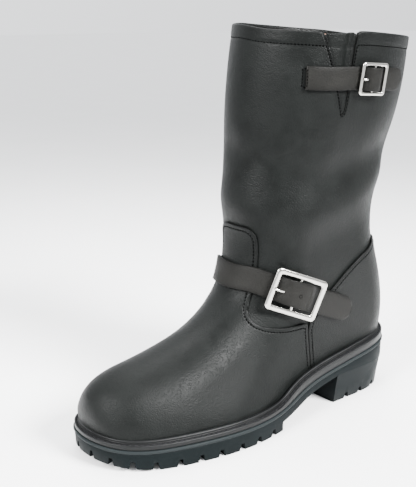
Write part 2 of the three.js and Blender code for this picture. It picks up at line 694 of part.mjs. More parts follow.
// Surface coordinates of a point given by side, reach and height
function locate([side, reach, height]) {
  const y = reach * BOOT_LENGTH;
  const z = height * BOOT_HEIGHT;
  const miss = (t, turn) => {
    const p = surfacePoint(t, turn);
    return [p.y - y, p.z - z];
  };
  if (side === 0) {
    let best = [0, Infinity];
    for (let t = FIRST_SECTION - 1; t <= LAST_SECTION; t += 2 * WALK_ALONG) {
      const off = Math.abs(miss(t, FRONT_TURN)[1]);
      best = off < best[1] ? [t, off] : best;
    }
    return [best[0], FRONT_TURN];
  }
  let start = [0, 0, Infinity];
  for (let t = FIRST_SECTION; t <= LAST_SECTION; t += 50 * WALK_ALONG) {
    for (let a = 20 * WALK_ROUND; a < FRONT_TURN; a += 30 * WALK_ROUND) {
      const turn = side > 0 ? a : 1 - a;
      const off = Math.hypot(...miss(t, turn));
      start = off < start[2] ? [t, turn, off] : start;
    }
  }
  let [t, turn] = start;
  for (let k = 0; k < CLOSING_STEPS; k += 1) {
    const m = miss(t, turn);
    const along = miss(t + WALK_ALONG, turn).map((v, i) => (v - m[i]) / WALK_ALONG);
    const round = miss(t, turn + WALK_ROUND).map((v, i) => (v - m[i]) / WALK_ROUND);
    const det = along[0] * round[1] - round[0] * along[1];
    t = Math.min(t - (m[0] * round[1] - m[1] * round[0]) / det, LAST_SECTION);
    turn -= (along[0] * m[1] - along[1] * m[0]) / det;
  }
  return [t, turn];
}

// Surface coordinates reached from (t, turn) by moving along a direction for a distance
function moveOn([t, turn], direction, distance) {
  const steps = 3;
  let at = [t, turn];
  for (let k = 0; k < steps; k += 1) {
    const here = surfacePoint(...at);
    const st = surfacePoint(at[0] + 2 * WALK_ALONG, at[1]).sub(here).divideScalar(2 * WALK_ALONG);
    const sa = surfacePoint(at[0], at[1] + 2 * WALK_ROUND).sub(here).divideScalar(2 * WALK_ROUND);
    const want = direction.clone().multiplyScalar(distance / steps);
    const tt = st.dot(st);
    const ta = st.dot(sa);
    const aa = sa.dot(sa);
    const det = tt * aa - ta * ta;
    const bt = want.dot(st);
    const ba = want.dot(sa);
    at = [at[0] + (bt * aa - ba * ta) / det, at[1] + (ba * tt - bt * ta) / det];
  }
  return at;
}

const PATH_STEPS = 160;
const PATH_SPAN = 2;
// Path on the surface through located points, with its length
function surfacePath(points) {
  const located = points.map(locate);
  const dense = PATH_STEPS;
  const last = located.length - 1;
  const uv = Array.from({ length: dense + 1 }, (_, k) => splineRow(located, (last * k) / dense));
  const spots = uv.map(([t, turn]) => surfacePoint(t, turn));
  const lengths = [0];
  spots.slice(1).forEach((p, k) => lengths.push(lengths[k] + p.distanceTo(spots[k])));
  const total = lengths[dense];
  const at = (distance) => {
    const target = Math.min(Math.max(distance, 0), total);
    const found = lengths.findIndex((d) => d > target);
    const k = found > 0 ? found : dense;
    const f = clamp01((target - lengths[k - 1]) / (lengths[k] - lengths[k - 1]));
    return [uv[k - 1][0] + (uv[k][0] - uv[k - 1][0]) * f, uv[k - 1][1] + (uv[k][1] - uv[k - 1][1]) * f];
  };
  const frame = (distance) => {
    const here = at(distance);
    const ahead = surfacePoint(...at(Math.min(distance + PATH_SPAN, total)));
    const behind = surfacePoint(...at(Math.max(distance - PATH_SPAN, 0)));
    const along = ahead.sub(behind).normalize();
    const normal = surfaceNormal(...here);
    const across = normal.clone().cross(along).normalize();
    return { here, along: across.clone().cross(normal), normal, across };
  };
  const nearest = (point) => {
    const goal = surfacePoint(...locate(point));
    const away = spots.map((p) => p.distanceTo(goal));
    return lengths[away.indexOf(Math.min(...away))];
  };
  return { total, frame, nearest };
}

const ACROSS = [-0.5, -0.25, 0, 0.25, 0.5];
const TIP_SHARE = 0.35;
// Flat strip laid along a path between two distances, its underside lifted off the surface
function strip(path, { from, to, width, thickness, lift, stations, tip = 0 }) {
  const rings = [];
  for (let k = 0; k <= stations; k += 1) {
    const distance = from + (to - from) * (k / stations);
    const { here, across } = path.frame(distance);
    const nearTip = tip > 0 ? clamp01((to - distance) / tip) : 1;
    const wide = width * (TIP_SHARE + (1 - TIP_SHARE) * Math.sqrt(1 - (1 - nearTip) ** 2));
    const rise = lift(distance);
    const spots = ACROSS.map((share) => moveOn(here, across, share * wide));
    const bottom = spots.map((spot) => offsetPoint(...spot, rise));
    const top = spots.map((spot) => offsetPoint(...spot, rise + thickness)).reverse();
    rings.push([...bottom, ...top]);
  }
  const n = rings[0].length;
  const vertices = rings.flat();
  const triangles = [];
  for (let i = 0; i < stations; i += 1) {
    for (let j = 0; j < n; j += 1) {
      const next = (j + 1) % n;
      triangles.push([i * n + j, (i + 1) * n + j, (i + 1) * n + next]);
      triangles.push([i * n + j, (i + 1) * n + next, i * n + next]);
    }
  }
  const cap = (base, flip) => {
    for (let j = 0; j + 1 < ACROSS.length; j += 1) {
      const a = base + j;
      const b = base + j + 1;
      const c = base + n - 2 - j;
      const d = base + n - 1 - j;
      triangles.push(flip ? [a, c, b] : [a, b, c], flip ? [a, d, c] : [a, c, d]);
    }
  };
  cap(0, false);
  cap(stations * n, true);
  return orient(vertices, triangles);
}

// Rod of six sides through points
function rod(points, radius, up) {
  const sides = 6;
  const rings = points.map((p, k) => {
    const before = points[Math.max(k - 1, 0)];
    const after = points[Math.min(k + 1, points.length - 1)];
    const along = after.clone().sub(before).normalize();
    const right = along.clone().cross(up).normalize();
    const high = right.clone().cross(along);
    return Array.from({ length: sides }, (_, j) => {
      const angle = (2 * Math.PI * j) / sides;
      return p.clone()
        .addScaledVector(right, radius * Math.cos(angle))
        .addScaledVector(high, radius * Math.sin(angle));
    });
  });
  const vertices = rings.flat();
  const start = vertices.push(points[0].clone()) - 1;
  const end = vertices.push(points[points.length - 1].clone()) - 1;
  const triangles = [];
  for (let i = 0; i + 1 < rings.length; i += 1) {
    for (let j = 0; j < sides; j += 1) {
      const next = (j + 1) % sides;
      triangles.push([i * sides + j, (i + 1) * sides + j, (i + 1) * sides + next]);
      triangles.push([i * sides + j, (i + 1) * sides + next, i * sides + next]);
    }
  }
  const top = (rings.length - 1) * sides;
  for (let j = 0; j < sides; j += 1) {
    const next = (j + 1) % sides;
    triangles.push([start, j, next], [end, top + next, top + j]);
  }
  return orient(vertices, triangles);
}

// Where a buckle sits on its path: its end bars clear the strap below them, its pin clears the billet
function seatBuckle(path, at, size) {
  const { here, normal, across } = path.frame(at);
  const reach = size.length / 2 - size.bar / 2;
  const barLift = size.base + size.strapThickness + BAR_EASE + FRAME_THICKNESS / 2;
  const front = offsetPoint(...path.frame(at - reach).here, barLift);
  const rear = offsetPoint(...path.frame(at + reach).here, barLift + size.rear);
  const tilted = rear.clone().sub(front).normalize();
  const up = across.clone().cross(tilted).normalize();
  const high = up.dot(normal) > 0 ? up : up.negate();
  const middle = front.clone().add(rear).divideScalar(2);
  const height = middle.clone().sub(surfacePoint(...here)).dot(normal);
  const pinHeight = Math.max(height, size.pinNeeds);
  middle.addScaledVector(normal, pinHeight - height);
  return { middle, tilted, high, across: high.clone().cross(tilted), pinHeight };
}

// Buckle on a strap: rounded frame with bevelled bars, a pin across its middle and a prong
function buckle(seat, size) {
  const { middle: centre, tilted, high, across } = seat;
  const place = (s, w, h) => centre
    .clone()
    .addScaledVector(tilted, s)
    .addScaledVector(across, w)
    .addScaledVector(high, h);
  const open = size.strapWidth / 2 + size.ease;
  const outerHalf = [size.length / 2, open + size.bar];
  const innerHalf = [size.length / 2 - size.bar, open];
  const corners = 3;
  const ringAt = (half, radius, h) => {
    const points = [];
    [[1, 1], [-1, 1], [-1, -1], [1, -1]].forEach(([sx, sy], quarter) => {
      for (let k = 0; k <= corners; k += 1) {
        const angle = (Math.PI / 2) * (quarter + k / corners);
        points.push(place(
          sx * (half[0] - radius) + radius * Math.cos(angle),
          sy * (half[1] - radius) + radius * Math.sin(angle),
          h,
        ));
      }
    });
    return points;
  };
  const thick = FRAME_THICKNESS / 2;
  const bevel = thick / 2;
  const shrink = (half, by) => half.map((v) => v + by);
  const layers = [
    ringAt(outerHalf, size.corner, -bevel),
    ringAt(outerHalf, size.corner, bevel),
    ringAt(shrink(outerHalf, -bevel), size.corner, thick),
    ringAt(shrink(innerHalf, bevel), size.corner / 2, thick),
    ringAt(innerHalf, size.corner / 2, bevel),
    ringAt(innerHalf, size.corner / 2, -thick),
    ringAt(shrink(outerHalf, -bevel), size.corner, -thick),
  ];
  const n = layers[0].length;
  const triangles = [];
  layers.forEach((_, i) => {
    const next = (i + 1) % layers.length;
    for (let k = 0; k < n; k += 1) {
      const step = (k + 1) % n;
      triangles.push([i * n + k, i * n + step, next * n + step]);
      triangles.push([i * n + k, next * n + step, next * n + k]);
    }
  });
  const pin = rod([place(0, -open - GAP, 0), place(0, open + GAP, 0)], PIN_RADIUS, high);
  const frame = orient(layers.flat(), triangles).add(pin);
  const reach = innerHalf[0] + size.bar / 2;
  const overBar = thick + GAP + PRONG_RADIUS;
  const prongLine = [
    [PIN_RADIUS + PRONG_RADIUS + GAP, 0], [0.3 * reach, size.strapTop * 0.6],
    [0.5 * reach, size.strapTop], [0.75 * reach, overBar + GAP], [reach, overBar],
  ];
  const prongPoints = prongLine.map(([s, h]) => place(-s, 0, h));
  const prong = rod(prongPoints, PRONG_RADIUS, high);
  const prongRoom = rod(prongPoints, PRONG_RADIUS + GAP, high);
  return { frame, prong, prongRoom };
}

// Lift of a strap along its path: a base, a hump over the buckle's pin and an easing to its ends
function liftOver({ base, hump, humpAt, humpSpread, rear, rearFrom }) {
  return (distance) => {
    const overPin = hump * Math.exp(-(((distance - humpAt) / humpSpread) ** 2));
    const toRear = rear * smooth(clamp01((distance - rearFrom) / humpSpread));
    return base + overPin + toRear;
  };
}

// Instep strap
const ON_OVERLAY = 2 * GAP + OVERLAY;
const instepPath = surfacePath(INSTEP_PATH);
const instepBuckleAt = instepPath.nearest(INSTEP_BUCKLE_AT);
const INSTEP_SPREAD = 8;
const INSTEP_SIZE = {
  length: INSTEP_BUCKLE_LENGTH,
  bar: INSTEP_BAR,
  ease: BUCKLE_EASE,
  corner: 3.4,
  strapWidth: INSTEP_WIDTH,
  strapThickness: INSTEP_THICKNESS,
  base: ON_OVERLAY + GAP / 2,
  rear: BILLET + GAP,
  pinNeeds: ON_OVERLAY + BILLET + 2 * GAP + PIN_RADIUS,
  strapTop: PIN_RADIUS + HUMP_EASE + INSTEP_THICKNESS + PRONG_RADIUS,
};
const instepSeat = seatBuckle(instepPath, instepBuckleAt, INSTEP_SIZE);
const instepLift = liftOver({
  base: INSTEP_SIZE.base,
  hump: instepSeat.pinHeight + PIN_RADIUS + HUMP_EASE - INSTEP_SIZE.base - INSTEP_SIZE.rear,
  humpAt: instepBuckleAt,
  humpSpread: INSTEP_SPREAD,
  rear: INSTEP_SIZE.rear,
  rearFrom: instepBuckleAt - 2 * INSTEP_SPREAD,
});
const instepBuckle = buckle(instepSeat, INSTEP_SIZE);
const instepStrap = strip(instepPath, {
  from: 0,
  to: instepPath.total,
  width: INSTEP_WIDTH,
  thickness: INSTEP_THICKNESS,
  lift: instepLift,
  stations: 32,
  tip: INSTEP_WIDTH / 2,
}).subtract(instepBuckle.prongRoom);
const instepBillet = strip(instepPath, {
  from: instepBuckleAt - INSTEP_SPREAD,
  to: instepPath.total - INSTEP_WIDTH / 2,
  width: INSTEP_WIDTH - 2,
  thickness: BILLET,
  lift: () => ON_OVERLAY,
  stations: 10,
});

// Top strap
const topPath = surfacePath(TOP_PATH);
const topBuckleAt = topPath.nearest(TOP_BUCKLE_AT);
const TOP_SPREAD = 5;
const TOP_SIZE = {
  length: TOP_BUCKLE_LENGTH,
  bar: TOP_BAR,
  ease: TOP_BUCKLE_EASE,
  corner: 2.4,
  strapWidth: TOP_WIDTH,
  strapThickness: TOP_THICKNESS,
  base: GAP * 1.5,
  rear: BILLET + GAP,
  pinNeeds: BILLET + 3 * GAP + PIN_RADIUS,
  strapTop: PIN_RADIUS + HUMP_EASE + TOP_THICKNESS + PRONG_RADIUS,
};
const topSeat = seatBuckle(topPath, topBuckleAt, TOP_SIZE);
const topLift = liftOver({
  base: TOP_SIZE.base,
  hump: topSeat.pinHeight + PIN_RADIUS + HUMP_EASE - TOP_SIZE.base - TOP_SIZE.rear,
  humpAt: topBuckleAt,
  humpSpread: TOP_SPREAD,
  rear: TOP_SIZE.rear,
  rearFrom: topBuckleAt - 2 * TOP_SPREAD,
});
const topBuckle = buckle(topSeat, TOP_SIZE);
const topStrap = strip(topPath, {
  from: 0,
  to: topPath.total,
  width: TOP_WIDTH,
  thickness: TOP_THICKNESS,
  lift: topLift,
  stations: 20,
  tip: TOP_WIDTH / 2,
}).subtract(topBuckle.prongRoom);
const topBillet = strip(topPath, {
  from: topBuckleAt - TOP_SPREAD,
  to: topPath.total - TOP_WIDTH / 2,
  width: TOP_WIDTH - 2,
  thickness: BILLET,
  lift: () => GAP,
  stations: 8,
});

const LEATHER = { color: 0x2b2a29, roughness: 0.55, metalness: 0 };
const STRAP = { color: 0x262625, roughness: 0.6, metalness: 0 };
const METAL = { color: 0xd6d2c8, roughness: 0.25, metalness: 1 };
const RUBBER = { color: 0x1b1d20, roughness: 0.8, metalness: 0 };
const WELT = { color: 0x2f2f2f, roughness: 0.7, metalness: 0 };
const BOARD = { color: 0x6b4a35, roughness: 0.8, metalness: 0 };

const boot = new THREE.Group();
boot.name = 'engineer_boot_left';

function addNode(name, body, look) {
  const mesh = body.getMesh();
  const geometry = new THREE.BufferGeometry();
  geometry.setAttribute('position', new THREE.BufferAttribute(new Float32Array(mesh.vertProperties), 3));
  geometry.setIndex(new THREE.BufferAttribute(new Uint32Array(mesh.triVerts), 1));
  geometry.computeVertexNormals();
  const node = new THREE.Mesh(geometry, new THREE.MeshStandardMaterial(look));
  node.name = name;
  boot.add(node);
}

addNode('upper', upper, LEATHER);
addNode('vamp', vamp, LEATHER);
addNode('counter', counter, LEATHER);
addNode('gusset', gusset, STRAP);
addNode('backstay', backstay, STRAP);
addNode('instep_strap', instepStrap, STRAP);
addNode('instep_billet', instepBillet, STRAP);
addNode('instep_buckle_frame', instepBuckle.frame, METAL);
addNode('instep_buckle_prong', instepBuckle.prong, METAL);
addNode('top_strap', topStrap, STRAP);
addNode('top_billet', topBillet, STRAP);
addNode('top_buckle_frame', topBuckle.frame, METAL);
addNode('top_buckle_prong', topBuckle.prong, METAL);
addNode('welt', welt, WELT);
addNode('outsole', outsole, RUBBER);
addNode('heel', heel, RUBBER);
addNode('insole', insole, BOARD);

export default boot;
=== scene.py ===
"""Engineer boot for the left foot: leather, stitches, buckles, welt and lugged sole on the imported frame."""
import math
from collections import namedtuple

import bpy
import numpy as np
from bpy.props import FloatProperty, FloatVectorProperty, PointerProperty
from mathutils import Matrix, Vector


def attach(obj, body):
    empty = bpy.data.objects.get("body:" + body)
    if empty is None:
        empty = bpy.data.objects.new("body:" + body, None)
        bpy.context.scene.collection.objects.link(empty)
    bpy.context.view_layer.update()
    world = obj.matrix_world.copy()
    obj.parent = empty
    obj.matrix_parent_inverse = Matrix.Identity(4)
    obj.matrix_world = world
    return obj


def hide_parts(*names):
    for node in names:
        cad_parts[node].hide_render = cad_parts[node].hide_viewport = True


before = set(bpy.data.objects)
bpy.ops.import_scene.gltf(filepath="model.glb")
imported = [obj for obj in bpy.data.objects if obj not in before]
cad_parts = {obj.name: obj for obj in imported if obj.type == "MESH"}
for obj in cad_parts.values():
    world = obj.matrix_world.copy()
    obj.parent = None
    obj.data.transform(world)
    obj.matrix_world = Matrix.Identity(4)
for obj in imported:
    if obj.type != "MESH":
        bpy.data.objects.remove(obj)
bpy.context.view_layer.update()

bl_info = {
    "name": "Engineer Boot",
    "version": (1, 0, 0),
    "blender": (4, 5, 0),
    "location": "3D View > Sidebar > Boot",
    "description": "Builds a buckled pull-on boot piece by piece around its packed solids",
    "category": "Object",
}

MM = 0.001

# Main sizes in millimetres, the same as the solids'
BOOT_LENGTH = 298.0
BOOT_HEIGHT = 308.0
BALL_WIDTH = 97.0
SEAT_HEIGHT = 43.0
HEEL_TOP = 26.0
HEEL_BREAST = -37.0
WALL = 2.6
GAP = 0.3
OVERLAY = 1.6

# Sections of the upper from toe to collar: front reach, front height, back reach, back height,
# low and high half width, low and high cap, low and high shift
SECTIONS = np.array([
    [-0.8322, 0.1169, -0.8322, 0.1169, 0.001, 0.001, 0.005, 0.005, 0.021, 0.021],
    [-0.8272, 0.1396, -0.8299, 0.0877, 0.108, 0.098, 0.093, 0.093, 0.021, 0.021],
    [-0.8121, 0.1623, -0.8221, 0.0568, 0.222, 0.196, 0.165, 0.186, 0.021, 0.021],
    [-0.7819, 0.1834, -0.7953, 0.0260, 0.314, 0.289, 0.186, 0.278, 0.031, 0.031],
    [-0.7383, 0.1997, -0.7483, 0.0114, 0.376, 0.361, 0.186, 0.371, 0.041, 0.041],
    [-0.6795, 0.2110, -0.6862, 0.0097, 0.421, 0.402, 0.186, 0.433, 0.057, 0.052],
    [-0.6074, 0.2273, -0.6141, 0.0081, 0.464, 0.428, 0.175, 0.495, 0.057, 0.052],
    [-0.5302, 0.2500, -0.5302, 0.0081, 0.500, 0.423, 0.165, 0.536, 0.057, 0.041],
    [-0.4631, 0.2825, -0.4463, 0.0065, 0.490, 0.407, 0.165, 0.557, 0.062, 0.021],
    [-0.4094, 0.3263, -0.3490, 0.0032, 0.448, 0.392, 0.186, 0.577, 0.046, 0.000],
    [-0.3809, 0.3734, -0.2450, 0.0162, 0.392, 0.392, 0.206, 0.598, 0.026, -0.010],
    [-0.3691, 0.4253, -0.1309, 0.0292, 0.369, 0.397, 0.258, 0.598, 0.015, -0.010],
    [-0.3691, 0.4773, -0.0101, 0.0455, 0.363, 0.407, 0.320, 0.577, 0.005, 0.000],
    [-0.3742, 0.5260, 0.0973, 0.0877, 0.361, 0.418, 0.351, 0.557, 0.000, 0.000],
    [-0.3775, 0.5714, 0.1292, 0.1883, 0.381, 0.433, 0.412, 0.557, 0.000, 0.000],
    [-0.3758, 0.6136, 0.1191, 0.2955, 0.402, 0.448, 0.495, 0.557, 0.000, 0.000],
    [-0.3742, 0.6591, 0.0906, 0.3929, 0.418, 0.469, 0.557, 0.577, 0.000, 0.000],
    [-0.3725, 0.7208, 0.0805, 0.5032, 0.454, 0.490, 0.619, 0.619, 0.000, 0.000],
    [-0.3674, 0.8117, 0.1124, 0.6494, 0.515, 0.536, 0.660, 0.660, 0.000, 0.000],
    [-0.3540, 0.9123, 0.1644, 0.8117, 0.567, 0.588, 0.701, 0.722, 0.000, 0.000],
    [-0.3356, 1.0000, 0.1779, 0.9610, 0.619, 0.629, 0.763, 0.763, 0.000, 0.000],
])
SECTION_UNITS = np.array([BOOT_LENGTH, BOOT_HEIGHT, BOOT_LENGTH, BOOT_HEIGHT] + [BALL_WIDTH] * 6)
LAST = len(SECTIONS) - 1

# Height of the sole's top along the boot, and the arch under it: shares of length and height
SOLE_LINE = np.array([
    [-0.889, 0.455], [-0.849, 0.437], [-0.809, 0.409], [-0.752, 0.388], [-0.668, 0.379], [-0.570, 0.377],
    [-0.460, 0.379], [-0.403, 0.386], [-0.342, 0.433], [-0.299, 0.512], [-0.258, 0.598], [-0.218, 0.667],
    [-0.178, 0.721], [-0.138, 0.767], [-0.097, 0.809], [-0.054, 0.856], [-0.013, 0.895], [0.034, 0.935],
    [0.101, 0.979], [0.200, 1.026],
]) * [BOOT_LENGTH, SEAT_HEIGHT]
ARCH_LINE = np.array([
    [-0.356, 0.30], [-0.320, 0.385], [-0.282, 0.510], [-0.238, 0.690], [-0.198, 0.812], [-0.160, 0.896],
    [-0.128, 0.965],
]) * [BOOT_LENGTH, HEEL_TOP]

# Seams: half of the vamp's outline from the front, the others from the side
VAMP_FRONT = np.array([
    [0.90, 0.230], [0.62, 0.2305], [0.475, 0.233], [0.392, 0.247], [0.325, 0.264], [0.270, 0.284],
    [0.234, 0.306], [0.218, 0.331], [0.213, 0.360], [0.211, 0.474], [0.198, 0.490], [0.165, 0.502],
    [0.115, 0.507],
]) * [BALL_WIDTH, BOOT_HEIGHT]
SEAM = np.array([[-0.203, -0.10], [-0.2047, 0.065], [-0.2242, 0.2305]]) * [BOOT_LENGTH, BOOT_HEIGHT]
COUNTER_TOP = np.array([
    [-0.2242, 0.2305], [-0.215, 0.257], [-0.193, 0.282], [-0.162, 0.310], [-0.131, 0.335], [-0.097, 0.362],
    [-0.064, 0.385], [-0.027, 0.406], [0.013, 0.424], [0.047, 0.432], [0.300, 0.434],
]) * [BOOT_LENGTH, BOOT_HEIGHT]
GUSSET = np.array([[-0.2450, 1.02], [-0.1430, 1.02], [-0.1688, 0.770]]) * [BOOT_LENGTH, BOOT_HEIGHT]
BACKSTAY_HALF = 14.0
BACKSTAY_TOP = 0.925 * BOOT_HEIGHT
# Side outlines are closed this far under the floor, behind the boot and ahead of it
BELOW = -60.0
BEHIND = 150.0
AHEAD = -400.0
# Distance given to places out of a seam's reach
BEYOND = 60.0

# Strap paths: side, reach share, height share; side 0 is the front line
INSTEP_PATH = [
    [-1, -0.150, 0.288], [-1, -0.255, 0.331], [-1, -0.342, 0.366], [0, -0.381, 0.3734],
    [1, -0.352, 0.370], [1, -0.262, 0.333], [1, -0.160, 0.290], [1, -0.076, 0.256],
]
TOP_PATH = [[1, -0.272, 0.877], [1, -0.170, 0.874], [1, -0.070, 0.870], [1, 0.030, 0.864]]


# Surface of the upper

CAP_STEPS = 90
ROW_STEPS = 16
TURNS = 256
SMOOTHING = 5.0
# Small steps over section position and turn for finding directions
STEP_T = 0.02
STEP_U = 0.002
MOVE_STEPS = 3
LOCATE_ROUNDS = 6
# First sections searched for a place on the front line and on the sides
FRONT_FROM = 4
SIDE_FROM = 5


def catmull(p0, p1, p2, p3, f):
    """Catmull-Rom value between p1 and p2."""
    square = 2 * p0 - 5 * p1 + 4 * p2 - p3
    cube = 3 * p1 - p0 - 3 * p2 + p3
    return 0.5 * (2 * p1 + (p2 - p0) * f + square * f ** 2 + cube * f ** 3)


def spline_rows(rows, t):
    """Catmull-Rom values of a table of rows at positions t."""
    last = len(rows) - 1
    t = np.asarray(t, float)
    i = np.clip(np.floor(t).astype(int), 0, last - 1)
    p1, p2 = rows[i], rows[i + 1]
    p0 = np.where((i == 0)[:, None], 2 * p1 - p2, rows[np.maximum(i - 1, 0)])
    p3 = np.where((i + 2 > last)[:, None], 2 * p2 - p1, rows[np.minimum(i + 2, last)])
    return catmull(p0, p1, p2, p3, (t - i)[:, None])


def smooth_step(f):
    f = np.clip(f, 0.0, 1.0)
    return f * f * (3.0 - 2.0 * f)


def plateau(f, start, end, ramp):
    """1 between start and end, falling smoothly to 0 at both."""
    return smooth_step((f - start) / ramp) * smooth_step((end - f) / ramp)


def sole_top(y):
    """Height of the outsole's top at y, through the sole line's points."""
    points = SOLE_LINE
    slopes = np.gradient(points[:, 1], points[:, 0])
    i = np.clip(np.searchsorted(points[:, 0], y) - 1, 0, len(points) - 2)
    span = points[i + 1, 0] - points[i, 0]
    f = np.clip((y - points[i, 0]) / span, 0.0, 1.0)
    start = (2 * f ** 3 - 3 * f ** 2 + 1) * points[i, 1] + (f ** 3 - 2 * f ** 2 + f) * span * slopes[i]
    end = (3 * f ** 2 - 2 * f ** 3) * points[i + 1, 1] + (f ** 3 - f ** 2) * span * slopes[i + 1]
    return start + end


def section_ring(row):
    """One closed section of the upper, evenly spaced, from its low point round the outer side."""
    ty, tz, by, bz, low, high, cap_low, cap_high, shift_low, shift_high = row * SECTION_UNITS
    chord = max(math.hypot(ty - by, tz - bz), 1e-6)
    cap_low = min(cap_low, chord / 2)
    cap_high = min(cap_high, chord - cap_low)
    turn = np.linspace(0.0, math.pi / 2, CAP_STEPS)
    d = np.concatenate([cap_low * (1 - np.cos(turn)), chord - cap_high * (1 - np.cos(turn[::-1]))])
    swell = np.concatenate([np.sin(turn), np.sin(turn[::-1])])
    mix = smooth_step((d - cap_low / 2) / max(chord - cap_high / 2 - cap_low / 2, 1e-6))
    half = (low + (high - low) * mix) * swell
    shift = shift_low + (shift_high - shift_low) * mix
    lengths = np.concatenate([[0.0], np.cumsum(np.hypot(np.diff(d), np.diff(half)))])
    even = np.linspace(0.0, lengths[-1], TURNS // 2 + 1)
    d, half, shift = (np.interp(even, lengths, v) for v in (d, half, shift))
    y, z = by + (ty - by) * d / chord, bz + (tz - bz) * d / chord
    outer = np.stack([shift + half, y, z], 1)
    inner = np.stack([shift - half, y, z], 1)[::-1]
    return np.concatenate([outer, inner[1:-1]])


def running_length(line):
    """Distance of each point of a line from its start."""
    return np.concatenate([[0.0], np.cumsum(np.linalg.norm(np.diff(line, axis=0), axis=1))])


def gauss(d, width):
    return np.exp(-(d / width) ** 2)


def interpolated(at, lengths, values):
    """Rows of values at distances along a line."""
    return np.stack([np.interp(at, lengths, column) for column in values.T], 1)


def segment_distance(points, a, b):
    """Distance of each point to the straight piece from a to b."""
    ab = b - a
    f = np.clip(((points - a) @ ab) / max(ab @ ab, 1e-12), 0.0, 1.0)
    return np.linalg.norm(points - a - f[:, None] * ab, axis=1)


def distance_to_line(points, line):
    """Distance of each point to a polyline in space."""
    best = np.full(len(points), np.inf)
    for a, b in zip(line[:-1], line[1:]):
        best = np.minimum(best, segment_distance(points, a, b))
    return best


def curved(points, count=60):
    """Smooth line through points."""
    return spline_rows(np.asarray(points, float), np.linspace(0, len(points) - 1, count))


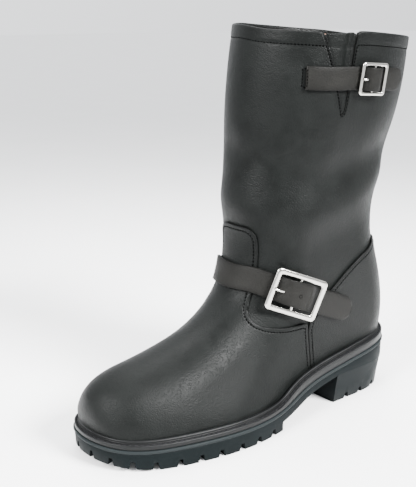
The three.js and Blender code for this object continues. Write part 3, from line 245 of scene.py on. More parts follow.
class Skin:
    """The upper's outer surface as a table over section position t and turn u, in millimetres."""

    def __init__(self):
        t = np.linspace(0.0, LAST, LAST * ROW_STEPS + 1)
        self.table = np.array([section_ring(row) for row in spline_rows(SECTIONS, t)])
        self.table = self.smoothed(self.table)
        turn = np.arange(TURNS) / TURNS
        wave = COLLAR_WAVE * (plateau(turn, *FAR_TURNS) - plateau(turn, *NEAR_TURNS))
        self.table[..., 2] += wave * smooth_step((t - LAST + WAVE_REACH) / WAVE_REACH)[:, None]
        self.normals = self.facing(self.table)
        self.table = self.table + self.normals * self.relief()[..., None]
        self.normals = self.facing(self.table)

    def padded(self, table, pad):
        before = np.roll(table[1:pad + 1][::-1], TURNS // 2, axis=1)
        after = 2 * table[-1] - table[-pad - 1:-1][::-1]
        return np.concatenate([before, table, after])

    def smoothed(self, table):
        pad = int(3 * SMOOTHING)
        reach = np.arange(-pad, pad + 1)
        weights = np.exp(-0.5 * (reach / SMOOTHING) ** 2)
        weights /= weights.sum()
        full = self.padded(table, pad)
        return sum(w * full[pad + k:pad + k + len(table)] for k, w in zip(reach, weights))

    def facing(self, table):
        full = self.padded(table, 2)
        along = full[3:-1] - full[1:-3]
        across = np.roll(table, -1, 1) - np.roll(table, 1, 1)
        normal = np.cross(along, across)
        return normal / np.maximum(np.linalg.norm(normal, axis=2, keepdims=True), 1e-12)

    def relief(self):
        """Height of the rim's band and groove and of the creases, in millimetres along the normal."""
        steps = np.linalg.norm(np.diff(self.table, axis=0), axis=2)
        below_rim = np.concatenate([np.cumsum(steps[::-1], axis=0)[::-1], np.zeros((1, TURNS))])
        height = RIM_SWELL * smooth_step((RIM_BAND - below_rim) / RIM_BLEND)
        height = height - RIM_GROOVE * gauss(below_rim - RIM_BAND, RIM_GROOVE_WIDTH)
        points = self.table.reshape(-1, 3)
        for depth, width, line in CREASES:
            d = distance_to_line(points, curved(line, CREASE_STEPS))
            height = height + (depth * gauss(d, width)).reshape(height.shape)
        return height

    def sample(self, table, tu):
        """Bicubic values of a table at surface positions."""
        full = self.padded(table, 2)
        x = np.clip(tu[:, 0], 0.0, LAST) * ROW_STEPS
        v = tu[:, 1] * TURNS
        i, j = np.floor(x).astype(int), np.floor(v).astype(int)
        columns = (j[:, None] + np.arange(-1, 3)) % TURNS
        rows = []
        for a in range(-1, 3):
            line = full[np.clip(i + a + 2, 0, len(full) - 1)[:, None], columns]
            rows.append(catmull(*[line[:, k] for k in range(4)], (v - j)[:, None]))
        return catmull(*rows, (x - i)[:, None])

    def normals_at(self, tu):
        n = self.sample(self.normals, tu)
        return n / np.linalg.norm(n, axis=1, keepdims=True)

    def points_at(self, tu, lift=0.0):
        lift = np.broadcast_to(np.asarray(lift, float), len(tu))
        return self.sample(self.table, tu) + self.normals_at(tu) * lift[:, None]

    def move(self, tu, direction, distance):
        """Surface positions reached from tu by going along a direction for a distance."""
        tu = np.array(tu, float)
        for _ in range(MOVE_STEPS):
            here = self.points_at(tu)
            st = (self.points_at(tu + [STEP_T, 0]) - here) / STEP_T
            su = (self.points_at(tu + [0, STEP_U]) - here) / STEP_U
            want = direction * (np.broadcast_to(distance, len(tu))[:, None] / MOVE_STEPS)
            tt, tm, mm = (np.sum(a * b, 1) for a, b in ((st, st), (st, su), (su, su)))
            bt, bm = np.sum(want * st, 1), np.sum(want * su, 1)
            det = tt * mm - tm * tm
            tu[:, 0] += (bt * mm - bm * tm) / det
            tu[:, 1] += (bm * tt - bt * tm) / det
        return tu

    def locate(self, side, reach, height):
        """Surface position of a point given by side, reach and height."""
        goal = np.array([reach * BOOT_LENGTH, height * BOOT_HEIGHT])
        if side == 0:
            line = self.table[FRONT_FROM * ROW_STEPS:, TURNS // 2, 2]
            k = int(np.argmin(np.abs(line - goal[1])))
            return np.array([FRONT_FROM + k / ROW_STEPS, 0.5])
        columns = slice(1, TURNS // 2) if side > 0 else slice(TURNS // 2 + 1, TURNS)
        grid = self.table[SIDE_FROM * ROW_STEPS:, columns, 1:]
        i, j = np.unravel_index(np.argmin(np.linalg.norm(grid - goal, axis=2)), grid.shape[:2])
        tu = np.array([SIDE_FROM + i / ROW_STEPS, (columns.start + j) / TURNS])
        for _ in range(LOCATE_ROUNDS):
            p = self.points_at(np.array([tu, tu + [STEP_T, 0], tu + [0, STEP_U]]))[:, 1:]
            jacobian = np.stack([(p[1] - p[0]) / STEP_T, (p[2] - p[0]) / STEP_U], 1)
            tu = tu + np.linalg.solve(jacobian, goal - p[0])
        return tu


RIM_BAND = 10.0
RIM_BLEND = 1.5
RIM_SWELL = 0.35
RIM_GROOVE = 0.5
RIM_GROOVE_WIDTH = 1.1
# The rim sinks on the near side and rises on the far one: start, end and ramp in turns, reach in sections
COLLAR_WAVE = 2.8
NEAR_TURNS = (0.27, 0.53, 0.08)
FAR_TURNS = (0.55, 0.97, 0.12)
WAVE_REACH = 1.8
CREASE_STEPS = 24
# Creases and swells of the leather: height, width, and the line they follow, all in millimetres
CREASES = [
    (2.0, 14.0, [[-20, -112, 176], [18, -110, 170], [38, -76, 162], [42, -40, 170], [34, 8, 190]]),
    (-2.6, 15.0, [[-6, -113, 214], [26, -100, 204], [44, -66, 194], [46, -36, 198], [40, 10, 212]]),
    (-0.9, 13.0, [[0, -112, 150], [32, -92, 138], [40, -60, 136], [40, -20, 146]]),
    (0.7, 22.0, [[46, -80, 268], [52, -50, 245], [50, -10, 235]]),
    (-0.8, 20.0, [[20, -106, 245], [48, -60, 222], [48, -10, 214]]),
    (-0.5, 4.5, [[42, -87, 282], [45, -80, 270], [43, -86, 256]]),
    (0.35, 3.0, [[38, -93, 276], [40, -92, 268], [38, -94, 258]]),
]
SKIN = Skin()

# Grid for the panels: cell height, cells around, and its start beside the surface's pole
GRID_CELL = 2.3
GRID_AROUND = 176
POLE = 0.06


def grid_axes():
    """Even section positions and turns for the panels' grids."""
    spread = np.linalg.norm(np.diff(SKIN.table, axis=0), axis=2).mean(1)
    lengths = np.concatenate([[0.0], np.cumsum(spread)])
    even = np.linspace(0.0, lengths[-1], int(lengths[-1] / GRID_CELL) + 1)
    t = np.interp(even, lengths, np.linspace(0.0, LAST, len(lengths)))
    t[0] = POLE
    return t, np.arange(GRID_AROUND) / GRID_AROUND


GRID_T, GRID_U = grid_axes()
GRID = np.stack(np.meshgrid(GRID_T, GRID_U, indexing="ij"), 2)
GRID_POINTS = SKIN.points_at(GRID.reshape(-1, 2))


def cut_grid(field):
    """Faces of the surface grid where a field is above 0, cut along its zero line, and their positions."""
    rows, cols = GRID.shape[:2]
    value = field.reshape(rows, cols)
    inside = value > 0
    spots = list(GRID.reshape(-1, 2))
    crossings = {}
    faces = []

    def corner(i, j):
        return i * cols + j % cols

    def crossing(a, b):
        key = (min(a, b), max(a, b))
        if key not in crossings:
            va, vb = value.flat[a], value.flat[b]
            pa, pb = GRID.reshape(-1, 2)[a], GRID.reshape(-1, 2)[b].copy()
            if pb[1] - pa[1] > 0.5:
                pb[1] -= 1.0
            if pa[1] - pb[1] > 0.5:
                pb[1] += 1.0
            crossings[key] = len(spots)
            spots.append(pa + (pb - pa) * (va / (va - vb)))
        return crossings[key]

    right = np.roll(inside, -1, 1)
    count = inside[:-1].astype(int) + inside[1:] + right[:-1] + right[1:]
    for i, j in zip(*np.nonzero(count == 4)):
        faces.append((corner(i, j), corner(i + 1, j), corner(i + 1, j + 1), corner(i, j + 1)))
    for i, j in zip(*np.nonzero((count > 0) & (count < 4))):
        ring = [corner(i, j), corner(i + 1, j), corner(i + 1, j + 1), corner(i, j + 1)]
        face = []
        for a, b in zip(ring, ring[1:] + ring[:1]):
            if inside.flat[a]:
                face.append(a)
            if inside.flat[a] != inside.flat[b]:
                face.append(crossing(a, b))
        faces.append(tuple(face))
    used = sorted({v for face in faces for v in face})
    renamed = {v: k for k, v in enumerate(used)}
    tu = np.array([spots[v] for v in used])
    return tu, [tuple(renamed[v] for v in face) for face in faces]


def border_loops(faces):
    """Closed loops of the edges that belong to one face, with the faces on their left."""
    edges = {}
    for face in faces:
        for a, b in zip(face, face[1:] + face[:1]):
            edges[(a, b)] = True
    following = {a: b for a, b in edges if (b, a) not in edges}
    loops = []
    while following:
        start, at = next(iter(following.items()))
        loop = [start]
        del following[start]
        while at != start and at in following:
            loop.append(at)
            at = following.pop(at)
        loops.append(loop)
    return loops


def runs_of(flags, least):
    """Runs of places where a flag holds, longer than a least count."""
    runs = np.split(np.arange(len(flags)), np.nonzero(np.diff(flags.astype(int)))[0] + 1)
    return [run for run in runs if len(run) > least and flags[run[0]]]


def seam_lines(field):
    """Lines on the surface where a field is 0, as runs of positions."""
    tu, faces = cut_grid(field)
    lines = []
    for loop in border_loops(faces):
        spots = tu[loop]
        rim = (spots[:, 0] >= GRID_T[-1] - 1e-6) | (spots[:, 0] <= GRID_T[0] + 1e-6)
        if not rim.any():
            lines.append(np.vstack([spots, spots[:1]]))
            continue
        first = int(np.argmax(rim))
        spots, rim = np.roll(spots, -first, 0), np.roll(rim, -first)
        lines += [spots[run] for run in runs_of(~rim, 2)]
    return lines


def flat_distance(points, outline):
    """Signed distance of flat points to an outline, above 0 inside it."""
    best = np.full(len(points), np.inf)
    inside = np.zeros(len(points), bool)
    for a, b in zip(outline, np.roll(outline, -1, 0)):
        best = np.minimum(best, segment_distance(points, a, b))
        crosses = (a[1] > points[:, 1]) != (b[1] > points[:, 1])
        if crosses.any():
            x = a[0] + (points[:, 1] - a[1]) / (b[1] - a[1]) * (b[0] - a[0])
            inside ^= crosses & (points[:, 0] < x)
    return np.where(inside, best, -best)


# Seams on the grid

X, Y, Z = GRID_POINTS.T
ABOVE_SOLE = Z - sole_top(Y)
RIM = SKIN.points_at(np.stack([np.full(TURNS + 1, float(LAST)), np.arange(TURNS + 1) / TURNS], 1))
BELOW_RIM = distance_to_line(GRID_POINTS, RIM)
SEAM_REACH = 25.0


def vamp_field():
    half = curved(VAMP_FRONT)
    outline = np.vstack([[half[0, 0], BELOW], half, half[::-1] * [-1, 1], [-half[0, 0], BELOW]])
    front = flat_distance(GRID_POINTS[:, [0, 2]], outline)
    return np.minimum(front, np.interp(Z, SEAM[:, 1], SEAM[:, 0]) - Y)


def counter_field():
    top = curved(COUNTER_TOP[1:])
    outline = np.vstack([SEAM, top, [BEHIND, top[-1, 1]], [BEHIND, BELOW], [SEAM[0, 0], BELOW]])
    return flat_distance(GRID_POINTS[:, 1:], outline) - GAP


def backstay_field():
    low = COUNTER_TOP[-1, 1] + GAP
    half, top = BACKSTAY_HALF, BACKSTAY_TOP
    outline = np.array([[-half, low], [half, low], [half, top], [-half, top]])
    inside = flat_distance(GRID_POINTS[:, [0, 2]], outline)
    return np.where(Y > 0, inside, -BEYOND)


def slit_field():
    """Above 0 inside the gusset's slit on the outer side."""
    inside = flat_distance(GRID_POINTS[:, 1:], GUSSET)
    return np.where(X > 0, inside, -BEYOND)


class Seam:
    """Edge lines of a panel with the signed distance from them over the grid."""

    def __init__(self, field):
        self.lines = [SKIN.points_at(spots) for spots in seam_lines(field)]
        self.inside = np.sign(field) * self.distance(GRID_POINTS)

    def distance(self, points):
        best = np.full(len(points), BEYOND)
        for line in self.lines:
            lo, hi = line.min(0) - SEAM_REACH, line.max(0) + SEAM_REACH
            near = np.nonzero(np.all((points > lo) & (points < hi), axis=1))[0]
            best[near] = np.minimum(best[near], distance_to_line(points[near], line))
        return best


def link(obj):
    bpy.context.scene.collection.objects.link(obj)
    return obj


def mesh_of(name, points, faces):
    """Mesh from millimetre points."""
    mesh = bpy.data.meshes.new(name)
    mesh.from_pydata((np.asarray(points, float) * MM).tolist(), [], [list(map(int, f)) for f in faces])
    return mesh


def make_piece(name, points, faces, finish, nodes=(), sharp=None, values=None):
    """A mesh piece from millimetre points that rides the boot, stands for its nodes and takes a finish."""
    mesh = mesh_of(name, points, faces)
    mesh.polygons.foreach_set("use_smooth", np.ones(len(mesh.polygons), bool))
    # Per-point values: distance from a seam in millimetres, or on the welt and outsole painted shade and
    # painted highlight.
    if values is not None:
        attribute = mesh.attributes.new("seam_mm_and_painted_light", "FLOAT", "POINT")
        attribute.data.foreach_set("value", np.asarray(values, np.float32))
    if sharp is not None:
        mesh.set_sharp_from_angle(angle=math.radians(sharp))
    mesh.update()
    obj = link(bpy.data.objects.new(name, mesh))
    mesh.materials.append(finish)
    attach(obj, "root")
    if nodes:
        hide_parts(*nodes)
    return obj


EDGE_ANGLES = np.radians([30.0, 60.0, 90.0])


def panel_parts(seam, keep, base, thickness, edge):
    """Closed leather panel on the skin: top sheet, rounded edges and underside."""
    tu, faces = cut_grid(keep)
    normals = SKIN.normals_at(tu)
    ground = SKIN.points_at(tu)
    base = (base(ground) if callable(base) else np.full(len(ground), base))[:, None]
    top = ground + normals * (base + thickness)
    values = seam.distance(ground) if seam else np.full(len(ground), BEYOND)
    points, depths = [top, ground + normals * base], [values, np.zeros(len(values))]
    under = len(top)
    total = 2 * under
    all_faces = list(faces) + [tuple(v + under for v in face[::-1]) for face in faces]
    for loop in border_loops(faces):
        loop = np.array(loop)
        if np.all(tu[loop, 0] <= GRID_T[0]):
            all_faces += [tuple(loop[::-1]), tuple(loop + under)]
            continue
        centre, facing = top[loop], normals[loop]
        tangent = np.roll(centre, -1, 0) - np.roll(centre, 1, 0)
        outward = np.cross(tangent, facing)
        outward /= np.maximum(np.linalg.norm(outward, axis=1, keepdims=True), 1e-9)
        before = loop
        round_by = (edge(centre) if callable(edge) else np.full(len(loop), edge))[:, None]
        rings = [(round_by * math.sin(a), round_by * (1 - math.cos(a))) for a in EDGE_ANGLES]
        rings.append((round_by * math.sin(EDGE_ANGLES[-1]), np.maximum(thickness - round_by / 2, round_by)))
        for out, down in rings:
            points.append(centre + outward * out - facing * down)
            depths.append(np.maximum(values[loop] - out[:, 0], 0.0))
            ring = np.arange(total, total + len(loop))
            total += len(loop)
            all_faces += joined(before, ring)
            before = ring
        all_faces += joined(before, loop + under)
    return np.vstack(points), all_faces, np.concatenate(depths)


def joined(inner, outer):
    """Faces between two closed rings, the outer one to the right of the inner one's way round."""
    a, b = inner, np.roll(inner, -1)
    c, d = outer, np.roll(outer, -1)
    return [tuple(f) for f in np.stack([b, a, c, d], 1)]


LOOP_COUNT = 480
LOOP_SMOOTHING = 60


def outline_loop():
    """Line where the upper meets the sole, evenly spaced, with its outward directions."""
    spots = max(seam_lines(ABOVE_SOLE), key=len)
    line = SKIN.points_at(spots)
    lengths = running_length(line[:, :2])
    loop = interpolated(np.linspace(0.0, lengths[-1], LOOP_COUNT + 1)[:-1], lengths, line)
    for _ in range(LOOP_SMOOTHING):
        loop = (np.roll(loop, 1, 0) + 2 * loop + np.roll(loop, -1, 0)) / 4
    loop = np.roll(loop, -int(np.argmax(loop[:, 1])), 0)
    if loop[LOOP_COUNT // 4, 0] < 0:
        loop = np.roll(loop[::-1], 1, 0)
    tangent = np.roll(loop, -1, 0) - np.roll(loop, 1, 0)
    outward = np.stack([-tangent[:, 1], tangent[:, 0], 0 * tangent[:, 0]], 1)
    outward /= np.linalg.norm(outward, axis=1, keepdims=True)
    return loop, outward


LOOP, LOOP_OUT = outline_loop()


def outline_at(margin, base, lift=0.0):
    """Ring at a margin outside the sole line, lifted over a base height that is given over y."""
    ring = LOOP + LOOP_OUT * margin
    ring[:, 2] = base(ring[:, 1]) + lift
    return ring


def band(rings, closed=True):
    """Faces of a sweep through equal rings, closed round its own profile."""
    n = len(rings[0])
    index = np.arange(n)
    faces = []
    for k in range(len(rings) if closed else len(rings) - 1):
        a, b = k * n, ((k + 1) % len(rings)) * n
        step = (index + 1) % n
        faces += [tuple(f) for f in np.stack([a + index, a + step, b + step, b + index], 1)]
    return np.vstack(rings), faces


def stacked(rings):
    """Closed solid of rings from the bottom up, with its ends laid across from side to side."""
    points, faces = band(rings, closed=False)
    n = len(rings[0])
    top = (len(rings) - 1) * n
    for k in range(n // 2):
        quad = [k, k + 1, (n - k - 1) % n, (n - k) % n]
        quad = [v for i, v in enumerate(quad) if v not in quad[:i]]
        faces.append(tuple(quad[::-1]))
        faces.append(tuple(v + top for v in quad))
    return points, faces


def solid(points, faces):
    """A closed mesh with its faces turned so that it encloses a positive volume."""
    p = np.asarray(points)
    triangles = np.array([(f[0], f[k], f[k + 1]) for f in faces for k in range(1, len(f) - 1)])
    a, b, c = p[triangles.T]
    if np.sum(a * np.cross(b, c)) < 0:
        faces = [tuple(f[::-1]) for f in faces]
    return points, faces


# Straps, buckles and stitches

BAR_EASE = 0.9
FRAME_THICKNESS = 2.6
PIN_RADIUS = 1.3
PRONG_RADIUS = 1.0
HUMP_EASE = 1.0
HUMP_SPREAD = 1.6
HUMP_POWER = 3.6
BILLET = 1.4
BILLET_NARROWER = 2.0
ON_OVERLAY = 2 * GAP + OVERLAY
PIN_NEEDS = BILLET + 2 * GAP + PIN_RADIUS
# Straps: places on a path, half step for its direction, cell length, rounding, crown as shares of thickness
PATH_ROWS = 240
PATH_STEP = 2.0
STRAP_CELL = 1.1
STRAP_ROUNDING = 0.5
STRAP_SHOULDER = 1.03
STRAP_CROWN = 1.04
TIP_BLUNT = 0.2
TUBE_SIDES = 16
TUBE_DOME = 0.3
# Any direction that no bar follows
ASKEW = [0.31, 0.52, 0.79]

# Each strap's path and thickness, the leather under it, the length over which it climbs to its buckle,
# and the buckle's place, length, bar, corner and slack beside the strap
StrapShape = namedtuple("StrapShape", "path thickness under climb spot length bar corner slack")
STRAP_SHAPES = {
    "instep": StrapShape(INSTEP_PATH, 2.2, ON_OVERLAY, 8.0, (1, -0.2765, 0.339), 46.0, 4.6, 3.6, 2.0),
    "top": StrapShape(TOP_PATH, 1.8, GAP, 5.0, (1, -0.096, 0.871), 26.0, 2.8, 2.6, 0.8),
}


class Path:
    """Line on the skin through located points, with positions by distance."""

    def __init__(self, points):
        rows = np.array([SKIN.locate(*p) for p in points])
        self.tu = curved(rows, PATH_ROWS)
        self.lengths = running_length(SKIN.points_at(self.tu))
        self.total = self.lengths[-1]

    def at(self, distance):
        return interpolated(np.atleast_1d(distance), self.lengths, self.tu)

    def across(self, distance):
        distance = np.atleast_1d(distance)
        ahead = self.at(np.minimum(distance + PATH_STEP, self.total))
        behind = self.at(np.maximum(distance - PATH_STEP, 0.0))
        along = SKIN.points_at(ahead) - SKIN.points_at(behind)
        side = np.cross(SKIN.normals_at(self.at(distance)), along)
        return side / np.linalg.norm(side, axis=1, keepdims=True)

    def nearest(self, point):
        spots = SKIN.points_at(self.tu)
        return self.lengths[int(np.argmin(np.linalg.norm(spots - point, axis=1)))]


def strap_parts(path, start, end, width, thickness, lift, tip=0.0):
    """Strap with rounded edges laid along a path; lift gives its underside's height over distance."""
    stations = np.linspace(start, end, int((end - start) / STRAP_CELL) + 2)
    widths = np.full(len(stations), width)
    if tip:
        near = np.clip((end - stations) / tip, 0.0, 1.0)
        widths = width * (TIP_BLUNT + (1 - TIP_BLUNT) * np.sqrt(1 - (1 - near) ** 2))
    centre, across = path.at(stations), path.across(stations)
    rise = lift(stations)
    edge = [
        (0.5, STRAP_ROUNDING * (math.sin(angle) - 1), thickness / 2 * (1 - math.cos(angle)))
        for angle in np.radians([30.0, 60.0, 90.0, 120.0, 150.0, 180.0])
    ]
    other_edge = [(-share, -inset, height) for share, inset, height in edge[::-1]]
    under = [(-0.5, STRAP_ROUNDING, 0), (-0.25, 0, 0), (0, 0, 0), (0.25, 0, 0), (0.5, -STRAP_ROUNDING, 0)]
    shoulder, crown = thickness * STRAP_SHOULDER, thickness * STRAP_CROWN
    profile = under + edge + [(0.25, 0, shoulder), (0, 0, crown), (-0.25, 0, shoulder)] + other_edge
    rings, edges = [], []
    for share, inset, height in profile:
        offset = share * widths + inset
        tu = SKIN.move(centre, across, offset)
        rings.append(SKIN.points_at(tu, rise + height))
        edges.append(np.maximum(widths / 2 - np.abs(offset), 0.0))
    n = len(stations)
    points = np.stack(rings, 1).reshape(-1, 3)
    values = np.stack(edges, 1).reshape(-1)
    m = len(profile)
    index = np.arange(m)
    faces = []
    for k in range(n - 1):
        a, b = k * m, (k + 1) * m
        step = (index + 1) % m
        faces += [tuple(f) for f in np.stack([a + index, b + index, b + step, a + step], 1)]
    faces.append(tuple(index[::-1]))
    faces.append(tuple((n - 1) * m + index))
    return *solid(points, faces), values


def tube_parts(line, radii):
    """Round bar along a smooth line with a radius at each point, domed at its ends."""
    line, radii = np.asarray(line, float), np.asarray(radii, float)
    along = np.gradient(line, axis=0)
    along /= np.linalg.norm(along, axis=1, keepdims=True)
    turn = 2 * np.pi * np.arange(TUBE_SIDES) / TUBE_SIDES
    side = np.cross(along[0], ASKEW)
    side /= np.linalg.norm(side)
    rings = []
    for p, d, r in zip(line, along, radii):
        side = side - d * (side @ d)
        side /= np.linalg.norm(side)
        up = np.cross(d, side)
        rings.append(p + r * (np.outer(np.cos(turn), side) + np.outer(np.sin(turn), up)))
    points, faces = band(rings, closed=False)
    n = len(points)
    first = line[0] - along[0] * radii[0] * TUBE_DOME
    last = line[-1] + along[-1] * radii[-1] * TUBE_DOME
    top = (len(rings) - 1) * TUBE_SIDES
    for k in range(TUBE_SIDES):
        step = (k + 1) % TUBE_SIDES
        faces.append((n, step, k))
        faces.append((n + 1, top + k, top + step))
    return solid(np.vstack([points, first, last]), faces)


def merged(parts):
    """One mesh from several lists of points and faces."""
    points, faces, total = [], [], 0
    for p, f in parts:
        points.append(p)
        faces += [tuple(v + total for v in face) for face in f]
        total += len(p)
    return np.vstack(points), faces


BEAD_RINGS = 5
BEAD_SIDES = 7
BEAD_FULLNESS = 0.6


def bead_template():
    """Unit thread bead: a long rounded pellet along its first axis."""
    points, faces = [[-1.0, 0.0, 0.0]], []
    for k in range(1, BEAD_RINGS):
        a = math.pi * k / BEAD_RINGS
        radius = math.sin(a) ** BEAD_FULLNESS
        for j in range(BEAD_SIDES):
            b = 2 * math.pi * j / BEAD_SIDES
            points.append([-math.cos(a), radius * math.cos(b), radius * math.sin(b)])
    points.append([1.0, 0.0, 0.0])
    last = len(points) - 1
    for j in range(BEAD_SIDES):
        step = (j + 1) % BEAD_SIDES
        faces.append((0, 1 + step, 1 + j))
        faces.append((last, last - BEAD_SIDES + j, last - BEAD_SIDES + step))
        for k in range(BEAD_RINGS - 2):
            a, b = 1 + k * BEAD_SIDES, 1 + (k + 1) * BEAD_SIDES
            faces.append((a + j, a + step, b + step, b + j))
    return np.array(points), faces


BEAD_POINTS, BEAD_FACES = bead_template()


STITCH_STEP = 0.6


def stitches(line, normals, pitch, length, width, height):
    """Row of thread stitches along a line lying on a surface with these normals."""
    lengths = running_length(line)
    count = max(int(lengths[-1] / pitch), 1)
    middle = (np.arange(count) + 0.5) * lengths[-1] / count
    at = interpolated(middle, lengths, line)
    behind, ahead = (interpolated(middle + step, lengths, line) for step in (-STITCH_STEP, STITCH_STEP))
    along = ahead - behind
    along /= np.linalg.norm(along, axis=1, keepdims=True)
    side = np.cross(interpolated(middle, lengths, normals), along)
    side /= np.linalg.norm(side, axis=1, keepdims=True)
    up = np.cross(along, side)
    body = at[:, None] + BEAD_POINTS[None, :, :1] * along[:, None] * length / 2
    body = body + BEAD_POINTS[None, :, 1:2] * side[:, None] * width / 2
    body = body + BEAD_POINTS[None, :, 2:] * up[:, None] * height
    n = len(BEAD_POINTS)
    faces = [tuple(v + k * n for v in f) for k in range(count) for f in BEAD_FACES]
    return body.reshape(-1, 3), faces


def seam_rows(seam, distance, lift, least, look):
    """Stitch rows on the skin at a distance inside a seam, above a least height over the sole."""
    parts = []
    for spots in seam_lines(seam.inside - distance):
        points = SKIN.points_at(spots)
        for run in runs_of(points[:, 2] - sole_top(points[:, 1]) > least, 3):
            normals = SKIN.normals_at(spots[run])
            parts.append(stitches(points[run] + normals * lift, normals, **look))
    return parts


class Lift:
    """Height of a strap's underside along its path: base, hump over the pin, rise to the rear."""

    def __init__(self, base, rear, spread):
        self.base, self.rear, self.spread = base, rear, spread
        self.at, self.hump = 0.0, 0.0

    def __call__(self, d):
        over_pin = self.hump * np.exp(-np.abs((d - self.at) / (self.spread * HUMP_SPREAD)) ** HUMP_POWER)
        return self.base + over_pin + self.rear * smooth_step((d - self.at + 2 * self.spread) / self.spread)


class Buckle:
    """Seat of a buckle on its strap path: its middle and directions, as the solids have them."""

    def __init__(self, path, shape, lift):
        self.bar = shape.bar
        self.reach = shape.length / 2 - shape.bar / 2
        lift.at = path.nearest(SKIN.points_at(SKIN.locate(*shape.spot)[None])[0])
        bar_lift = lift.base + shape.thickness + BAR_EASE + FRAME_THICKNESS / 2
        seat = path.at([lift.at - self.reach, lift.at, lift.at + self.reach])
        front, here, rear = SKIN.points_at(seat, [bar_lift, 0.0, bar_lift + lift.rear])
        normal = SKIN.normals_at(seat)[1]
        self.long = (rear - front) / np.linalg.norm(rear - front)
        high = np.cross(path.across([lift.at])[0], self.long)
        high /= np.linalg.norm(high)
        self.high = high if high @ normal > 0 else -high
        self.wide = np.cross(self.high, self.long)
        middle = (front + rear) / 2
        height = (middle - here) @ normal
        pin_height = max(height, shape.under + PIN_NEEDS)
        self.middle = middle + normal * (pin_height - height)
        lift.hump = pin_height + PIN_RADIUS + HUMP_EASE - lift.base - lift.rear

    def spot(self, s, w, h):
        return self.middle + self.long * s + self.wide * w + self.high * h


# Buckle frame's section: share of the bar from the inside out, and height
FRAME_SECTION = [
    (0.0, -0.8), (0.0, 0.35), (0.06, 0.8), (0.2, 1.12), (0.5, 1.3), (0.8, 1.12), (0.94, 0.8), (1.0, 0.35),
    (1.0, -0.8), (0.9, -1.2), (0.1, -1.2),
]
INNER_CORNER = 0.45
CORNER_STEPS = 10
PIN_SLIMNESS = 0.8


def buckle_parts(buckle, half_width, corner):
    """Rounded rectangular buckle frame with a softly crowned face, and the pin across its middle."""
    outer = np.array([buckle.reach + buckle.bar / 2, half_width + buckle.bar])
    inner = outer - buckle.bar
    rings = []
    for share, height in FRAME_SECTION:
        size = inner + (outer - inner) * share
        radius = corner * (INNER_CORNER + (1 - INNER_CORNER) * share)
        ring = []
        for quarter, (sx, sy) in enumerate([(1, 1), (-1, 1), (-1, -1), (1, -1)]):
            for k in range(CORNER_STEPS + 1):
                a = math.pi / 2 * (quarter + k / CORNER_STEPS)
                x = sx * (size[0] - radius) + radius * math.cos(a)
                y = sy * (size[1] - radius) + radius * math.sin(a)
                ring.append(buckle.spot(x, y, height))
        rings.append(np.array(ring))
    pin = [buckle.spot(0, w, 0) for w in np.linspace(-half_width - GAP, half_width + GAP, 5)]
    return merged([solid(*band(rings)), tube_parts(pin, [PIN_SLIMNESS * PIN_RADIUS] * len(pin))])


PRONG_STEPS = 25
# Prong's thickness along it, as shares of its length and radius
PRONG_TAPER = ([0, 0.4, 0.9, 1.0], [0.95, 1.12, 0.95, 0.6])


def prong_parts(buckle):
    """Prong that rises from the pin through the strap and rests on the front bar, tapering to its end."""
    over_bar = FRAME_THICKNESS / 2 + GAP + PRONG_RADIUS
    line = [(PIN_RADIUS + PRONG_RADIUS + GAP, 0), (0.45 * buckle.reach, 0.6), (0.62 * buckle.reach, 1.9),
            (0.8 * buckle.reach, over_bar + 0.2), (buckle.reach + 0.3, over_bar)]
    radii = PRONG_RADIUS * np.interp(np.linspace(0, 1, PRONG_STEPS), *PRONG_TAPER)
    return tube_parts([buckle.spot(-a, 0, b) for a, b in curved(line, PRONG_STEPS)], radii)


# Finishes

class Value:
    """Socket of a finish that takes part in plain arithmetic."""

    def __init__(self, finish, socket):
        self.finish, self.socket = finish, socket

    def join(self, operation, *values):
        return self.finish.node("ShaderNodeMath", {"operation": operation}, dict(enumerate(values)))

    def __add__(self, other):
        return self.join("ADD", self, other)

    def __radd__(self, other):
        return self.join("ADD", other, self)

    def __sub__(self, other):
        return self.join("SUBTRACT", self, other)

    def __rsub__(self, other):
        return self.join("SUBTRACT", other, self)

    def __mul__(self, other):
        return self.join("MULTIPLY", self, other)

    def clamped(self):
        return self.finish.node("ShaderNodeClamp", {}, {"Value": self})

    def exp(self):
        return self.join("EXPONENT", self)


class Shading:
    """A node tree that takes nodes and links."""

    def __init__(self, tree):
        self.tree = tree

    def feed(self, socket, value):
        if isinstance(value, Value):
            self.tree.links.new(value.socket, socket)
        else:
            socket.default_value = value

    def node(self, kind, settings=None, sockets=None, outlet=0):
        made = self.tree.nodes.new(kind)
        for key, value in (settings or {}).items():
            setattr(made, key, value)
        for key, value in (sockets or {}).items():
            self.feed(made.inputs[key], value)
        return Value(self, made.outputs[outlet])


